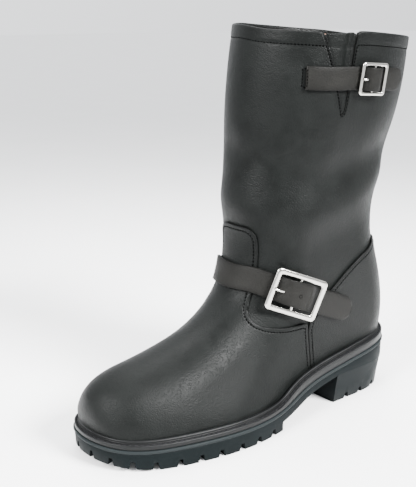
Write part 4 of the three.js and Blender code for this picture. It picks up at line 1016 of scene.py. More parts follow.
class Finish(Shading):
    """A material's node tree with its main shader."""

    def __init__(self, name, **constants):
        self.material = bpy.data.materials.new(name)
        self.material.use_nodes = True
        super().__init__(self.material.node_tree)
        self.shader = self.tree.nodes["Principled BSDF"]
        for socket, value in constants.items():
            self.feed(self.shader.inputs[socket.replace("_", " ")], value)

    def place(self):
        return self.node("ShaderNodeTexCoord", outlet="Object")

    def noise(self, scale, detail=2.0, rough=0.5, warp=0.0, where=None):
        sockets = {"Vector": where or self.place(), "Scale": scale, "Detail": detail, "Roughness": rough,
                   "Distortion": warp}
        return self.node("ShaderNodeTexNoise", {}, sockets)

    def cells(self, scale):
        return self.node("ShaderNodeTexVoronoi", {}, {"Vector": self.place(), "Scale": scale}, "Distance")

    def stretched(self, factors):
        return self.node("ShaderNodeVectorMath", {"operation": "MULTIPLY"}, {0: self.place(), 1: factors})

    def spread(self, value, low, high):
        sockets = {"Value": value, "From Min": low, "From Max": high}
        return self.node("ShaderNodeMapRange", {"interpolation_type": "SMOOTHSTEP"}, sockets)

    def mix(self, factor, a, b):
        return self.node("ShaderNodeMix", {"data_type": "RGBA"}, {0: factor, 6: a, 7: b}, 2)

    # The mesh's per-point values: distance from a seam, or on the welt and outsole its painted shade and
    # painted highlight.
    def seam(self):
        return self.node("ShaderNodeAttribute", {"attribute_name": "seam_mm_and_painted_light"}, outlet="Fac")

    def colour(self, value):
        self.feed(self.shader.inputs["Base Color"], value)

    def roughness(self, value):
        self.feed(self.shader.inputs["Roughness"], value)

    def bump(self, height, strength, distance):
        sockets = {"Height": height, "Strength": strength, "Distance": distance}
        self.feed(self.shader.inputs["Normal"], self.node("ShaderNodeBump", {}, sockets))
        return self.material


def shade(colour, factor=1.0, dust=0.0):
    """Colour made darker or brighter with pale grey added: dust, on the rubber's lip painted highlight."""
    return tuple(min((c + dust) * factor, 1.0) for c in colour[:3]) + (1.0,)


def oiled_leather(name, colour, roughness, row, grain=1.0):
    """Oiled full-grain leather: pores, cloudy tone, dark seams, a pressed stitch row, dusty scuffs at random.
    """
    f = Finish(name, Specular_IOR_Level=0.065)
    cloud = f.noise(13.0, 4.0, 0.55, 0.3)
    mottle = f.noise(75.0, 5.0, 0.62, 0.2)
    scuff = f.spread(f.noise(34.0, 7.0, 0.7, 1.2, f.stretched((1.0, 0.55, 1.3))), 0.58, 0.72)
    warp = f.noise(260.0, 2.0)
    pore = f.spread(f.cells(820.0), 0.05, 0.62)
    fine = f.noise(2300.0, 3.0, 0.6)
    wrinkle = f.noise(300.0, 3.0, 0.6, 0.8, f.stretched((0.8, 1.0, 1.5)))
    near = (f.seam() * -0.55).exp()
    tone = f.mix(f.spread(cloud, 0.35, 0.68), shade(colour, 0.82), shade(colour, 1.2))
    tone = f.mix(f.spread(mottle, 0.3, 0.75) * 0.65, tone, shade(colour, 1.7))
    tone = f.mix(scuff * 0.34, tone, shade(colour, 1.9, 0.002))
    tone = f.mix((1.0 - pore) * 0.35, tone, shade(colour, 0.45))
    f.colour(f.mix(near * 0.75, tone, shade(colour, 0.4)))
    rough = roughness + (cloud - 0.5) * 0.34 + (mottle - 0.5) * 0.3 - near * 0.06 + scuff * 0.05
    f.roughness(rough.clamped())
    off = f.seam() - row
    channel = (off * off * -2.6).exp()
    height = pore * 0.5 + fine * 0.25 + wrinkle * 0.8 + warp * 0.3 - channel * 1.1
    return f.bump(height, 0.75 * grain, 0.0003)


def sole_rubber(name, colour):
    """Moulded rubber: matte, faintly dusty, with a fine satin texture and a painted highlight on the lip."""
    f = Finish(name, Specular_IOR_Level=0.045)
    dust = f.spread(f.noise(48.0, 6.0, 0.65, 0.6), 0.45, 0.75)
    streak = f.noise(26.0, 5.0, 0.6, 0.4, f.stretched((0.5, 0.5, 9.0)))
    speck = f.noise(1500.0, 3.0, 0.6)
    tone = f.mix(dust * 0.4, shade(colour), shade(colour, 1.5, 0.0015))
    tone = f.mix(f.spread(streak, 0.4, 0.7) * 0.25, tone, shade(colour, 0.6))
    # Painted highlight: the lip at the top of the side is made paler from the mesh's values.
    f.colour(f.mix(f.seam().clamped(), tone, shade(colour, 1.7, 0.003)))
    f.roughness((0.5 + dust * 0.14 + (speck - 0.5) * 0.12).clamped())
    return f.bump(speck * 0.5 + streak * 0.5, 0.3, 0.0002)


def edge_welt(name, colour):
    """Burnished welt leather: waxed, fibres along it, painted shade in its groove and underneath."""
    f = Finish(name, Specular_IOR_Level=0.12)
    fibre = f.noise(90.0, 6.0, 0.65, 0.5, f.stretched((1.0, 1.0, 6.0)))
    patch = f.noise(30.0, 4.0, 0.6)
    pit = f.noise(1100.0, 3.0, 0.6)
    tone = f.mix(f.spread(patch, 0.35, 0.7), shade(colour, 0.8), shade(colour, 1.3))
    # Painted shade from the rings' values: down to a quarter in the groove, at the bead's foot and
    # underneath.
    tone = f.mix(f.seam().clamped(), shade(colour, 0.25), tone)
    f.colour(f.mix(f.spread(fibre, 0.5, 0.75) * 0.4, tone, shade(colour, 1.5, 0.002)))
    f.roughness((0.42 + (patch - 0.5) * 0.2 + (fibre - 0.5) * 0.2).clamped())
    return f.bump(fibre * 0.6 + pit * 0.4, 0.35, 0.0002)


def polished_metal(name, colour):
    """Nickel-plated casting: bright, softly wavy from polishing, with hairline scratches."""
    f = Finish(name, Metallic=1.0)
    wave = f.noise(160.0, 3.0, 0.5)
    hair = f.spread(f.noise(420.0, 5.0, 0.7, 0.2, f.stretched((0.3, 1.0, 5.0))), 0.55, 0.75)
    dull = f.spread(f.noise(90.0, 5.0, 0.6), 0.5, 0.8)
    f.colour(f.mix(dull * 0.35, shade(colour), shade(colour, 0.72)))
    f.roughness((0.13 + hair * 0.12 + dull * 0.1).clamped())
    return f.bump(wave * 0.8 + hair * 0.2, 0.12, 0.0002)


def waxed_thread(name, colour):
    """Waxed twisted thread."""
    f = Finish(name, Specular_IOR_Level=0.0)
    twist = f.noise(2600.0, 3.0, 0.6, 1.0)
    f.colour(f.mix(f.spread(twist, 0.35, 0.7), shade(colour, 0.6), shade(colour, 1.8)))
    f.roughness((0.5 + (twist - 0.5) * 0.3).clamped())
    return f.bump(twist, 0.5, 0.00012)


def flesh_leather(name, colour, roughness=0.75):
    """Undyed or stained inside leather with a short nap."""
    f = Finish(name, Specular_IOR_Level=0.3)
    nap = f.noise(900.0, 4.0, 0.7, 0.6)
    patch = f.noise(28.0, 4.0, 0.6, 0.4)
    tone = f.mix(f.spread(patch, 0.3, 0.7), shade(colour, 0.75), shade(colour, 1.25))
    f.colour(f.mix(f.spread(nap, 0.4, 0.7) * 0.5, tone, shade(colour, 0.6)))
    f.roughness((roughness + (nap - 0.5) * 0.2).clamped())
    return f.bump(nap + patch * 0.4, 0.5, 0.0003)


def studio_floor(name, colour):
    """Seamless pale paper."""
    f = Finish(name, Specular_IOR_Level=0.1)
    fleck = f.noise(9.0, 4.0, 0.5)
    f.colour(f.mix(f.spread(fleck, 0.3, 0.7), shade(colour, 0.985), shade(colour)))
    f.roughness(0.9 + (fleck - 0.5) * 0.05)
    return f.material


# Settings

def colour_setting(name, description, default):
    return FloatVectorProperty(
        name=name, description=description, default=default, subtype="COLOR", size=3, min=0.0, max=1.0,
    )


def length_setting(name, description, default):
    return FloatProperty(
        name=name, description=description, default=default * MM, subtype="DISTANCE", unit="LENGTH",
    )


class BootColours(bpy.types.PropertyGroup):
    """Colours of the boot's leathers, rubber and metal"""

    leather: colour_setting("Leather", "Oiled leather of the upper", (0.0027, 0.0031, 0.0029))
    strap: colour_setting("Straps", "Leather of the straps", (0.0052, 0.0051, 0.0046))
    welt: colour_setting("Welt", "Waxed welt", (0.0030, 0.0033, 0.0034))
    rubber: colour_setting("Rubber", "Outsole and heel", (0.0018, 0.0030, 0.0033))
    metal: colour_setting("Metal", "Plating of the buckles", (0.50, 0.49, 0.455))
    thread: colour_setting("Thread", "Waxed thread", (0.0004, 0.0004, 0.0004))
    welt_thread: colour_setting("Welt thread", "Thread in the welt groove", (0.012, 0.012, 0.013))
    lining: colour_setting("Lining", "Inside of the shaft", (0.17, 0.095, 0.07))
    insole: colour_setting("Insole", "Leather insole", (0.30, 0.19, 0.12))
    floor: colour_setting("Floor", "Paper under the boot", (0.92, 0.92, 0.92))


class BootSizes(bpy.types.PropertyGroup):
    """Sizes of the boot's leather, straps and stitches"""

    panel: length_setting("Panel thickness", "Thickness of the leather laid over the upper", OVERLAY)
    edge: length_setting("Edge rounding", "Rounding of the panels' cut edges", 0.7)
    instep_width: length_setting("Instep strap", "Width of the instep strap", 21.0)
    top_width: length_setting("Top strap", "Width of the top strap", 17.5)
    stitch_pitch: length_setting("Stitch pitch", "Distance from stitch to stitch", 2.6)
    welt_pitch: length_setting("Welt stitch pitch", "Distance between the welt's stitches", 4.2)


def colours():
    return bpy.context.scene.boot_colours


def sizes():
    return bpy.context.scene.boot_sizes


def strap_width(name):
    return getattr(sizes(), name + "_width") / MM


# Distance of the stitch rows from the panels' edges and from the slit
ROW_INSET = 3.4
SLIT_ROW = 1.15
MADE = {}


def finish_for(slot):
    """Material of a slot, made once from the colours."""
    if slot not in MADE:
        c = colours()
        makers = {
            "upper": lambda: oiled_leather("upper_leather", c.leather, 0.42, ROW_INSET),
            "shaft": lambda: oiled_leather("shaft_leather", c.leather, 0.43, SLIT_ROW),
            "strap": lambda: oiled_leather("strap_leather", c.strap, 0.52, BEYOND, 0.8),
            "welt": lambda: edge_welt("waxed_welt", c.welt),
            "rubber": lambda: sole_rubber("sole_rubber", c.rubber),
            "metal": lambda: polished_metal("nickel_plate", c.metal),
            "thread": lambda: waxed_thread("waxed_thread", c.thread),
            "welt_thread": lambda: waxed_thread("welt_thread", c.welt_thread),
            "lining": lambda: flesh_leather("lining_leather", c.lining),
            "insole": lambda: flesh_leather("insole_leather", c.insole, 0.6),
            "floor": lambda: studio_floor("paper_floor", c.floor),
        }
        MADE[slot] = makers[slot]()
    return MADE[slot]


# Pieces

WELT_TOE_HEIGHT = 6.2
WELT_HEEL_HEIGHT = 9.2
WELT_RISE = (-0.37 * BOOT_LENGTH, -0.28 * BOOT_LENGTH)
GROUND_MARGIN = 8.2
SIDE_MARGIN = 8.9
LIP_MARGIN = 9.7
TOE = LOOP[:, 1].min() - GROUND_MARGIN
TOE_SPRING = 5.5
SPRING_REACH = 0.19 * BOOT_LENGTH
# Distances that the leather keeps from the sole's top, the slit and the rim
SOLE_TRIM = 0.6
SLIT_TRIM = 0.5
GUSSET_TRIM = 1.2
LINING_TRIMS = (8.0, 3.6, 1.5)
# Roundings of the cut edges
RIM_ROLL = 1.25
SLIT_ROLL = 0.45
LINING_ROLL = 0.2
ROLL_REACH = 3.0
LINING_GAP = 0.6
LINING_THICKNESS = 0.5
# Gusset: its thickness, and how deep, how far from the rear edge and how wide it folds
GUSSET_THICKNESS = 1.2
GUSSET_DROP = 1.5
GUSSET_FOLD = 5.0
FOLD_AT = 4.5
FOLD_WIDTH = 3.6


def bead_top(y):
    """Height of the welt's bead: lower round the toe, higher from the arch to the heel."""
    rise = smooth_step((y - WELT_RISE[0]) / (WELT_RISE[1] - WELT_RISE[0]))
    return sole_top(y) + WELT_TOE_HEIGHT + (WELT_HEEL_HEIGHT - WELT_TOE_HEIGHT) * rise


SEAMS = {}
FIELDS = {"vamp": vamp_field, "counter": counter_field, "backstay": backstay_field, "slit": slit_field}


def seam(name):
    """Seam of a panel, found once."""
    if name not in SEAMS:
        SEAMS[name] = Seam(FIELDS[name]())
    return SEAMS[name]


def add_panel(name, seam_name, base, finish, node):
    edge = sizes().edge / MM
    line = seam(seam_name)
    keep = np.minimum(line.inside - edge, ABOVE_SOLE - SOLE_TRIM)
    points, faces, values = panel_parts(line, keep, base, sizes().panel / MM, edge)
    make_piece(name, points, faces, finish_for(finish), (node,), values=values)


def rim_roll(points):
    """Edge rounding of the shaft: a full roll at the rim, a crisp cut along the slit."""
    return np.where(distance_to_line(points, RIM) < ROLL_REACH, RIM_ROLL, SLIT_ROLL)


class BOOT_OT_shaft(bpy.types.Operator):
    """Shaft leather with its turned-in rim and slit, and the lining inside it"""

    bl_idname = "boot.shaft"
    bl_label = "Shaft"

    def execute(self, context):
        slit = seam("slit")
        keep = np.minimum(np.minimum(-slit.inside - SLIT_TRIM, BELOW_RIM - RIM_ROLL), ABOVE_SOLE - SOLE_TRIM)
        points, faces, values = panel_parts(slit, keep, -WALL, WALL, rim_roll)
        make_piece("shaft", points, faces, finish_for("shaft"), ("upper",), values=values)
        by_slit, by_rim, by_sole = LINING_TRIMS
        keep = np.minimum(np.minimum(-slit.inside - by_slit, BELOW_RIM - by_rim), ABOVE_SOLE - by_sole)
        points, faces, values = panel_parts(None, keep, -WALL - LINING_GAP, LINING_THICKNESS, LINING_ROLL)
        make_piece("lining", points, faces, finish_for("lining"), ("upper",), values=values)
        return {"FINISHED"}


def gusset_fold(points):
    """Height of the gusset's underside: tucked in along its rear edge, deeper towards the collar."""
    rear, low = GUSSET[1], GUSSET[2]
    up = np.clip((points[:, 2] - low[1]) / (rear[1] - low[1]), 0.0, 1.0)
    edge = low[0] + (rear[0] - low[0]) * up
    return -GUSSET_DROP - GUSSET_FOLD * up * gauss(points[:, 1] - edge + FOLD_AT, FOLD_WIDTH)


class BOOT_OT_panels(bpy.types.Operator):
    """Vamp, counter, back strip and gusset"""

    bl_idname = "boot.panels"
    bl_label = "Panels"

    def execute(self, context):
        add_panel("vamp", "vamp", GAP, "upper", "vamp")
        add_panel("counter", "counter", GAP, "upper", "counter")
        add_panel("back_strip", "backstay", GAP, "upper", "backstay")
        slit = seam("slit")
        keep = np.minimum(slit.inside - SLIT_TRIM, BELOW_RIM - GUSSET_TRIM)
        points, faces, values = panel_parts(slit, keep, gusset_fold, GUSSET_THICKNESS, SLIT_ROLL)
        make_piece("gusset", points, faces, finish_for("shaft"), ("gusset",), values=values)
        return {"FINISHED"}


# Insole's rings: margin and height over the sole's top
INSOLE_RINGS = [(-4.6, 0.6), (-4.2, 1.2), (-4.2, 2.5), (-4.7, 2.9)]


class BOOT_OT_insole(bpy.types.Operator):
    """Leather insole"""

    bl_idname = "boot.insole"
    bl_label = "Insole"

    def execute(self, context):
        rings = [outline_at(margin, sole_top, height) for margin, height in INSOLE_RINGS]
        points, faces = solid(*stacked(rings))
        make_piece("insole", points, faces, finish_for("insole"), ("insole",), sharp=40)
        return {"FINISHED"}


# Welt's rings: margin, height, painted shade; the first ones over the sole's top, the others over the bead's
# Painted shade 0 is darkest, in the groove and underneath; 1 and above leaves the welt's own tone.
WELT_UNDER = [(-1.0, 0.5, 0.5), (8.5, 0.3, 0.5), (8.8, 0.7, 0.5)]
WELT_FACE = [
    (8.85, -3.1, 1.0), (8.7, -2.65, 1.0), (8.3, -2.4, 0.7), (7.75, -2.42, 0.1), (7.4, -2.75, 0.0),
    (7.0, -2.9, 0.0), (6.6, -2.75, 0.0), (6.3, -2.45, 0.0), (5.75, -2.4, 0.05), (5.45, -2.2, 0.1),
]
WELT_BACK = [(2.4, -3.0, 0.4), (-1.0, -3.0, 0.4)]
# Bead against the upper: margin, radius, and angle and painted shade of its rings
WELT_BEAD = 3.95
WELT_BEAD_RADIUS = 1.4
WELT_BEAD_ANGLES = np.radians([-20.0, 5.0, 30.0, 55.0, 80.0, 105.0, 130.0, 155.0, 180.0])
WELT_BEAD_SHADE = [0.4, 0.8] + [1.5] * 7
# Welt stitches: margin, height over the bead's top, width and height of the thread
WELT_STITCHES = (7.0, -2.78, 1.15, 0.55)


class BOOT_OT_welt(bpy.types.Operator):
    """Stitched welt: bead against the upper, groove and flat edge"""

    bl_idname = "boot.welt"
    bl_label = "Welt"

    def execute(self, context):
        r = WELT_BEAD_RADIUS
        bead = [
            (WELT_BEAD + r * math.cos(angle), -r + r * math.sin(angle), tone)
            for angle, tone in zip(WELT_BEAD_ANGLES, WELT_BEAD_SHADE)
        ]
        over_bead = WELT_FACE + bead + WELT_BACK
        rings = [outline_at(margin, sole_top, height) for margin, height, _ in WELT_UNDER]
        rings += [outline_at(margin, bead_top, height) for margin, height, _ in over_bead]
        points, faces = solid(*band(rings))
        # Each ring's painted shade, repeated round the welt.
        values = np.repeat([tone for _, _, tone in WELT_UNDER + over_bead], len(LOOP))
        make_piece("welt", points, faces, finish_for("welt"), ("welt",), values=values)
        return {"FINISHED"}


def spring(y):
    """Height of the ground face: the toe curls up."""
    return TOE_SPRING * np.clip((TOE + SPRING_REACH - y) / SPRING_REACH, 0.0, 1.0) ** 2


# Cutters reach this far down. Notches of the outsole: first one's distance from the toe, pitch, count on
# each side, then their reach inside and outside the edge, height, width at the top and at the ground
CUT_FROM = -6.0
NOTCH_START = 8.6
NOTCH_PITCH = 17.3
NOTCH_COUNT = 11
NOTCH = (13.0, 8.0, 5.8, 2.6, 9.0)
# Grooves across the outsole's middle: count, and the same sizes
GROOVE_COUNT = 6
GROOVE = (17.0, 17.0, 2.7, 4.2, 4.2)
# Notches of the heel: count on each side, distance of their row's start from the back, pitch, the same sizes
HEEL_COUNT = 3
HEEL_START = 27.0
HEEL_PITCH = 19.5
HEEL_NOTCH = (13.0, 13.0, 5.0, 3.0, 8.0)
# Margin and height of the heel block's rings
HEEL_RINGS = [(4.3, 0.0), (4.8, 0.5), (6.4, 12.5), (8.6, HEEL_TOP - 0.25)]
HEEL_GROUND = 4.6
# Lowest and highest place of the cutter that ends the heel at its breast
BREAST_CUT = (-8.0, 40.0)
# Angle from which the moulded rubber's edges are sharp
RUBBER_SHARP = 38
# Outsole's side: its height, its rounded lip under the sole's top, and where the lip's painted highlight
# fades
SIDE_DROP = 3.9
LIP_RADIUS = 1.45
LIP_ANGLES = np.radians([-80.0, -50.0, -20.0, 10.0, 40.0, 65.0, 88.0])
LIP_DROP = 0.15
LIP_HIGHLIGHT_DROP = 3.4
LIP_HIGHLIGHT_BLEND = 0.8
ARCH_STEPS = 40
# Half width of the cutters that run across the whole boot
ACROSS = 120.0


def toe_walk(ring):
    """Points of a ground ring from the toe on along both sides, with their outward directions."""
    toe = int(np.argmin(ring[:, 1]))
    found = []
    for side in (1, -1):
        order = (toe + side * np.arange(len(ring) // 2)) % len(ring)
        lengths = running_length(ring[order])
        for k in range(NOTCH_COUNT):
            i = order[int(np.searchsorted(lengths, NOTCH_START + k * NOTCH_PITCH))]
            found.append((ring[i], LOOP_OUT[i]))
    return found


def back_walk(ring):
    """Points of a ground ring from the back on along both sides, with their outward directions."""
    back = int(np.argmax(ring[:, 1]))
    step = np.linalg.norm(ring[back] - ring[back - 1])
    found = []
    for k in range(1, HEEL_COUNT + 1):
        for side in (1, -1):
            i = (back + int(side * (HEEL_START + HEEL_PITCH * k) / step)) % len(ring)
            found.append((ring[i], LOOP_OUT[i]))
    return found


def wedge(point, out, inside, outside, high, narrow, wide):
    """Six-sided cutter across a ground edge."""
    along = np.array([-out[1], out[0], 0.0])
    foot = np.array([point[0], point[1], 0.0])
    corners = []
    for reach in (-inside, outside):
        for z, half in ((CUT_FROM, wide / 2), (point[2] + high, narrow / 2)):
            for side in (-1, 1):
                corners.append(foot + out * reach + along * side * half + [0, 0, z])
    faces = [(0, 1, 3, 2), (4, 6, 7, 5), (0, 4, 5, 1), (2, 3, 7, 6), (0, 2, 6, 4), (1, 5, 7, 3)]
    return solid(np.array(corners), faces)


def plain_object(name, points, faces):
    mesh = mesh_of(name, points, faces)
    mesh.update()
    return link(bpy.data.objects.new(name, mesh))


def carved(name, body, cutters):
    """Points and faces of a solid with cutters taken away."""
    whole = plain_object(name + "_solid", *body)
    tools = [plain_object(name + "_cut", *cutter) for cutter in cutters]
    for tool in tools:
        modifier = whole.modifiers.new("cut", "BOOLEAN")
        modifier.operation, modifier.solver, modifier.object = "DIFFERENCE", "EXACT", tool
        modifier.use_self = True
    shaped = whole.evaluated_get(bpy.context.evaluated_depsgraph_get())
    mesh = bpy.data.meshes.new_from_object(shaped)
    points = np.array([v.co for v in mesh.vertices]) / MM
    faces = [tuple(p.vertices) for p in mesh.polygons]
    bpy.data.meshes.remove(mesh)
    for obj in [whole, *tools]:
        bpy.data.objects.remove(obj)
    return points, faces


def side_prism(outline):
    """Prism across the boot on a side-view outline."""
    n = len(outline)
    points = np.array([[x, y, z] for x in (-ACROSS, ACROSS) for y, z in outline])
    faces = [tuple(range(n)), tuple(range(2 * n - 1, n - 1, -1))]
    faces += [(k, k + n, (k + 1) % n + n, (k + 1) % n) for k in range(n)]
    return solid(points, faces)


class BOOT_OT_sole(bpy.types.Operator):
    """Lugged outsole and heel block"""

    bl_idname = "boot.sole"
    bl_label = "Sole"

    def execute(self, context):
        ground = outline_at(GROUND_MARGIN, spring)
        rings = [outline_at(GROUND_MARGIN - 0.5, spring), outline_at(GROUND_MARGIN, spring, 0.5)]
        rings.append(outline_at(SIDE_MARGIN, sole_top, -SIDE_DROP))
        for angle in LIP_ANGLES:
            margin = LIP_MARGIN - LIP_RADIUS + LIP_RADIUS * math.cos(angle)
            rings.append(outline_at(margin, sole_top, -LIP_DROP - LIP_RADIUS + LIP_RADIUS * math.sin(angle)))
        arch = [tuple(p) for p in curved(ARCH_LINE, ARCH_STEPS)]
        under = [(arch[0][0], BELOW), *arch, (HEEL_BREAST, HEEL_TOP), (BEHIND, HEEL_TOP), (BEHIND, BELOW)]
        notches = [wedge(point, out, *NOTCH) for point, out in toe_walk(ground)]
        middle, sideways = SECTIONS[7, 8] * BALL_WIDTH, np.array([1.0, 0.0, 0.0])
        for y in np.linspace(TOE + 2 * NOTCH_PITCH, arch[0][0] - NOTCH_PITCH, GROOVE_COUNT):
            notches.append(wedge((middle, y, 0.0), sideways, *GROOVE))
        points, faces = carved("outsole", solid(*stacked(rings)), [side_prism(under), merged(notches)])
        # The lip's painted highlight: 1 on the lip, fading to 0 down the side.
        lip_highlight = smooth_step((points[:, 2] - sole_top(points[:, 1]) + LIP_HIGHLIGHT_DROP) / LIP_HIGHLIGHT_BLEND)
        make_piece("outsole", points, faces, finish_for("rubber"), ("outsole",),
                   sharp=RUBBER_SHARP, values=lip_highlight)

        rings = [outline_at(margin, np.zeros_like, height) for margin, height in HEEL_RINGS]
        low, high = BREAST_CUT
        front = [(HEEL_BREAST, low), (HEEL_BREAST, high), (AHEAD, high), (AHEAD, low)]
        ground = outline_at(HEEL_GROUND, np.zeros_like)
        cuts = [wedge(point, out, *HEEL_NOTCH) for point, out in back_walk(ground)]
        points, faces = carved("heel", solid(*stacked(rings)), [side_prism(front), *cuts])
        make_piece("heel", points, faces, finish_for("rubber"), ("heel",), sharp=RUBBER_SHARP)
        return {"FINISHED"}


STRAPS = {}


def straps():
    """Path, lift and buckle of each strap, worked out once."""
    if not STRAPS:
        for name, shape in STRAP_SHAPES.items():
            path = Path(shape.path)
            lift = Lift(shape.under + GAP / 2, BILLET + GAP, shape.climb)
            STRAPS[name] = (path, lift, Buckle(path, shape, lift))
    return STRAPS


# Hole for the instep prong: radius, distance behind the pin, sides, and its rings as shares of the radius
# with their heights over the strap
HOLE_RADIUS = 1.1
HOLE_AT = 0.8
HOLE_SIDES = 20
HOLE_RINGS = [(1.45, -0.25), (1.3, 0.12), (1.12, 0.16), (1.0, -0.02), (0.8, -0.1)]


def hole_parts(path, distance, lift):
    """Punched strap hole: pressed rim round a sunken floor, near-black as painted shade of the open hole."""
    centre, across = path.at([distance]), path.across([distance])[0]
    normal = SKIN.normals_at(centre)[0]
    middle = SKIN.points_at(centre)[0] + normal * lift
    along = np.cross(across, normal)
    turn = 2 * np.pi * np.arange(HOLE_SIDES) / HOLE_SIDES
    circle = np.outer(np.cos(turn), across) + np.outer(np.sin(turn), along)
    rings = [middle + HOLE_RADIUS * share * circle + normal * height for share, height in HOLE_RINGS]
    points, faces = band(rings, closed=False)
    last = len(points) - HOLE_SIDES
    faces += [tuple(range(last, len(points))), tuple(range(HOLE_SIDES - 1, -1, -1))]
    return solid(points, faces)


def spots_at(path, distances, offsets):
    """Surface positions along and beside a path, also before its start."""
    distances, offsets = np.broadcast_arrays(np.asarray(distances, float), np.asarray(offsets, float))
    tu = SKIN.move(path.at(np.maximum(distances, 0.0)), path.across(np.maximum(distances, 0.0)), offsets)
    first = path.at([0.0, 2.0])
    ends = SKIN.points_at(first)
    along = (ends[1] - ends[0]) / np.linalg.norm(ends[1] - ends[0])
    return SKIN.move(tu, np.tile(along, (len(tu), 1)), np.minimum(distances, 0.0))


def row_on(path, distances, offsets, lift, look):
    """Stitch row through spots along and beside a path."""
    tu = spots_at(path, distances, offsets)
    return stitches(SKIN.points_at(tu, lift), SKIN.normals_at(tu), **look)


class BOOT_OT_straps(bpy.types.Operator):
    """Instep and top straps with the short billets that hold their buckles"""

    bl_idname = "boot.straps"
    bl_label = "Straps"

    def execute(self, context):
        for name, shape in STRAP_SHAPES.items():
            path, lift, _ = straps()[name]
            width = strap_width(name)
            strap = strap_parts(path, 0.0, path.total, width, shape.thickness, lift, width / 2)
            start, end = lift.at - shape.climb, path.total - width / 2
            narrower = width - BILLET_NARROWER
            billet = strap_parts(path, start, end, narrower, BILLET, lambda d: np.full(len(d), shape.under))
            for part, (points, faces, values) in (("_strap", strap), ("_billet", billet)):
                make_piece(name + part + "_leather", points, faces, finish_for("strap"),
                           (name + part,), values=values)
        path, lift, _ = straps()["instep"]
        top = lift(lift.at) + STRAP_SHAPES["instep"].thickness * STRAP_CROWN
        points, faces = hole_parts(path, lift.at + HOLE_AT, top)
        # Thread's near-black finish: painted shade where the prong passes through the strap.
        make_piece("instep_strap_hole_shade", points, faces, finish_for("thread"))
        return {"FINISHED"}


class BOOT_OT_buckles(bpy.types.Operator):
    """Roller-less frame buckles with their pins and prongs"""

    bl_idname = "boot.buckles"
    bl_label = "Buckles"

    def execute(self, context):
        for name, shape in STRAP_SHAPES.items():
            buckle = straps()[name][2]
            points, faces = buckle_parts(buckle, strap_width(name) / 2 + shape.slack, shape.corner)
            make_piece(name + "_buckle", points, faces, finish_for("metal"),
                       (name + "_buckle_frame",), sharp=50)
            points, faces = prong_parts(buckle)
            make_piece(name + "_prong", points, faces, finish_for("metal"),
                       (name + "_buckle_prong",))
        return {"FINISHED"}


# Threads: depth sunk into the panels and the shaft, width, height, share of the pitch that shows,
# least height over the sole, and places along a short row
THREAD_SINK = 0.06
SHAFT_SINK = 0.05
THREAD_WIDTH = 1.05
THREAD_HEIGHT = 0.36
STITCH_SHARE = 0.8
ROW_LOW = 1.5
ROW_POINTS = 12
TIE_POINTS = 6
NO_LIMIT = 0.0
# Top strap's end: its finer thread, distance of the rows from the strap's sides, and where they run
FINE_LOOK = {"pitch": 2.2, "length": 1.8, "width": 0.7, "height": THREAD_HEIGHT}
TOP_ROW_INSET = 2.0
TOP_ROWS = (-2.6, 0.9)
TOP_ROW_LIFT = 0.1
# Instep strap's end: the same
INSTEP_ROW_INSET = 2.6
INSTEP_ROWS = (3.0, 22.0)


class BOOT_OT_stitching(bpy.types.Operator):
    """Thread rows of the panels, collar, slit, straps and welt"""

    bl_idname = "boot.stitching"
    bl_label = "Stitching"

    def execute(self, context):
        pitch = sizes().stitch_pitch / MM
        length = pitch * STITCH_SHARE
        look = {"pitch": pitch, "length": length, "width": THREAD_WIDTH, "height": THREAD_HEIGHT}
        top = GAP + sizes().panel / MM - THREAD_SINK
        groups = {
            "vamp_stitches": seam_rows(seam("vamp"), ROW_INSET, top, ROW_LOW, look),
            "counter_stitches": seam_rows(seam("counter"), ROW_INSET, top, ROW_LOW, look),
            "back_strip_stitches": seam_rows(seam("backstay"), ROW_INSET, top, NO_LIMIT, look),
            "shaft_stitches": [],
        }
        field = np.minimum(-seam("slit").inside - SLIT_ROW, BELOW_RIM - RIM_BAND)
        for spots in seam_lines(field):
            normals = SKIN.normals_at(spots)
            row = stitches(SKIN.points_at(spots) - normals * SHAFT_SINK, normals, **look)
            groups["shaft_stitches"].append(row)

        path, lift, _ = straps()["top"]
        half = strap_width("top") / 2 - TOP_ROW_INSET
        low, high = TOP_ROW_LIFT, lift.base + STRAP_SHAPES["top"].thickness * STRAP_CROWN
        before, after = TOP_ROWS
        across = np.linspace(-half, half, ROW_POINTS)
        along, climb = np.linspace(before, after, TIE_POINTS), np.linspace(low, high, TIE_POINTS)
        groups["top_strap_stitches"] = [
            row_on(path, after, across, high, FINE_LOOK), row_on(path, before, across, low, FINE_LOOK),
            row_on(path, along, half, climb, FINE_LOOK), row_on(path, along, -half, climb, FINE_LOOK),
        ]

        path, lift, _ = straps()["instep"]
        half = strap_width("instep") / 2 - INSTEP_ROW_INSET
        high = lift.base + STRAP_SHAPES["instep"].thickness * STRAP_SHOULDER
        start, end = INSTEP_ROWS
        across, along = np.linspace(-half, half, ROW_POINTS), np.linspace(start, end, ROW_POINTS)
        groups["instep_strap_stitches"] = [
            row_on(path, start, across, high, look), row_on(path, end, across, high, look),
            row_on(path, along, half, high, look), row_on(path, along, -half, high, look),
        ]
        for name, parts in groups.items():
            points, faces = merged(parts)
            make_piece(name, points, faces, finish_for("thread"))

        margin, height, *thread = WELT_STITCHES
        groove = outline_at(margin, bead_top, height)
        ring = np.vstack([groove, groove[:1]])
        up = np.tile([0.0, 0.0, 1.0], (len(ring), 1))
        pitch = sizes().welt_pitch / MM
        points, faces = stitches(ring, up, pitch, pitch * STITCH_SHARE, *thread)
        make_piece("welt_stitches", points, faces, finish_for("welt_thread"))
        return {"FINISHED"}


# Stage

EYE = (538.45, -548.11, 321.46)
TARGET = (-6.206, -132.727, 142.713)
LENS = 67.49
SENSOR = 36.0
NEAR_CLIP = 0.01
FLOOR_HALF = 9.0
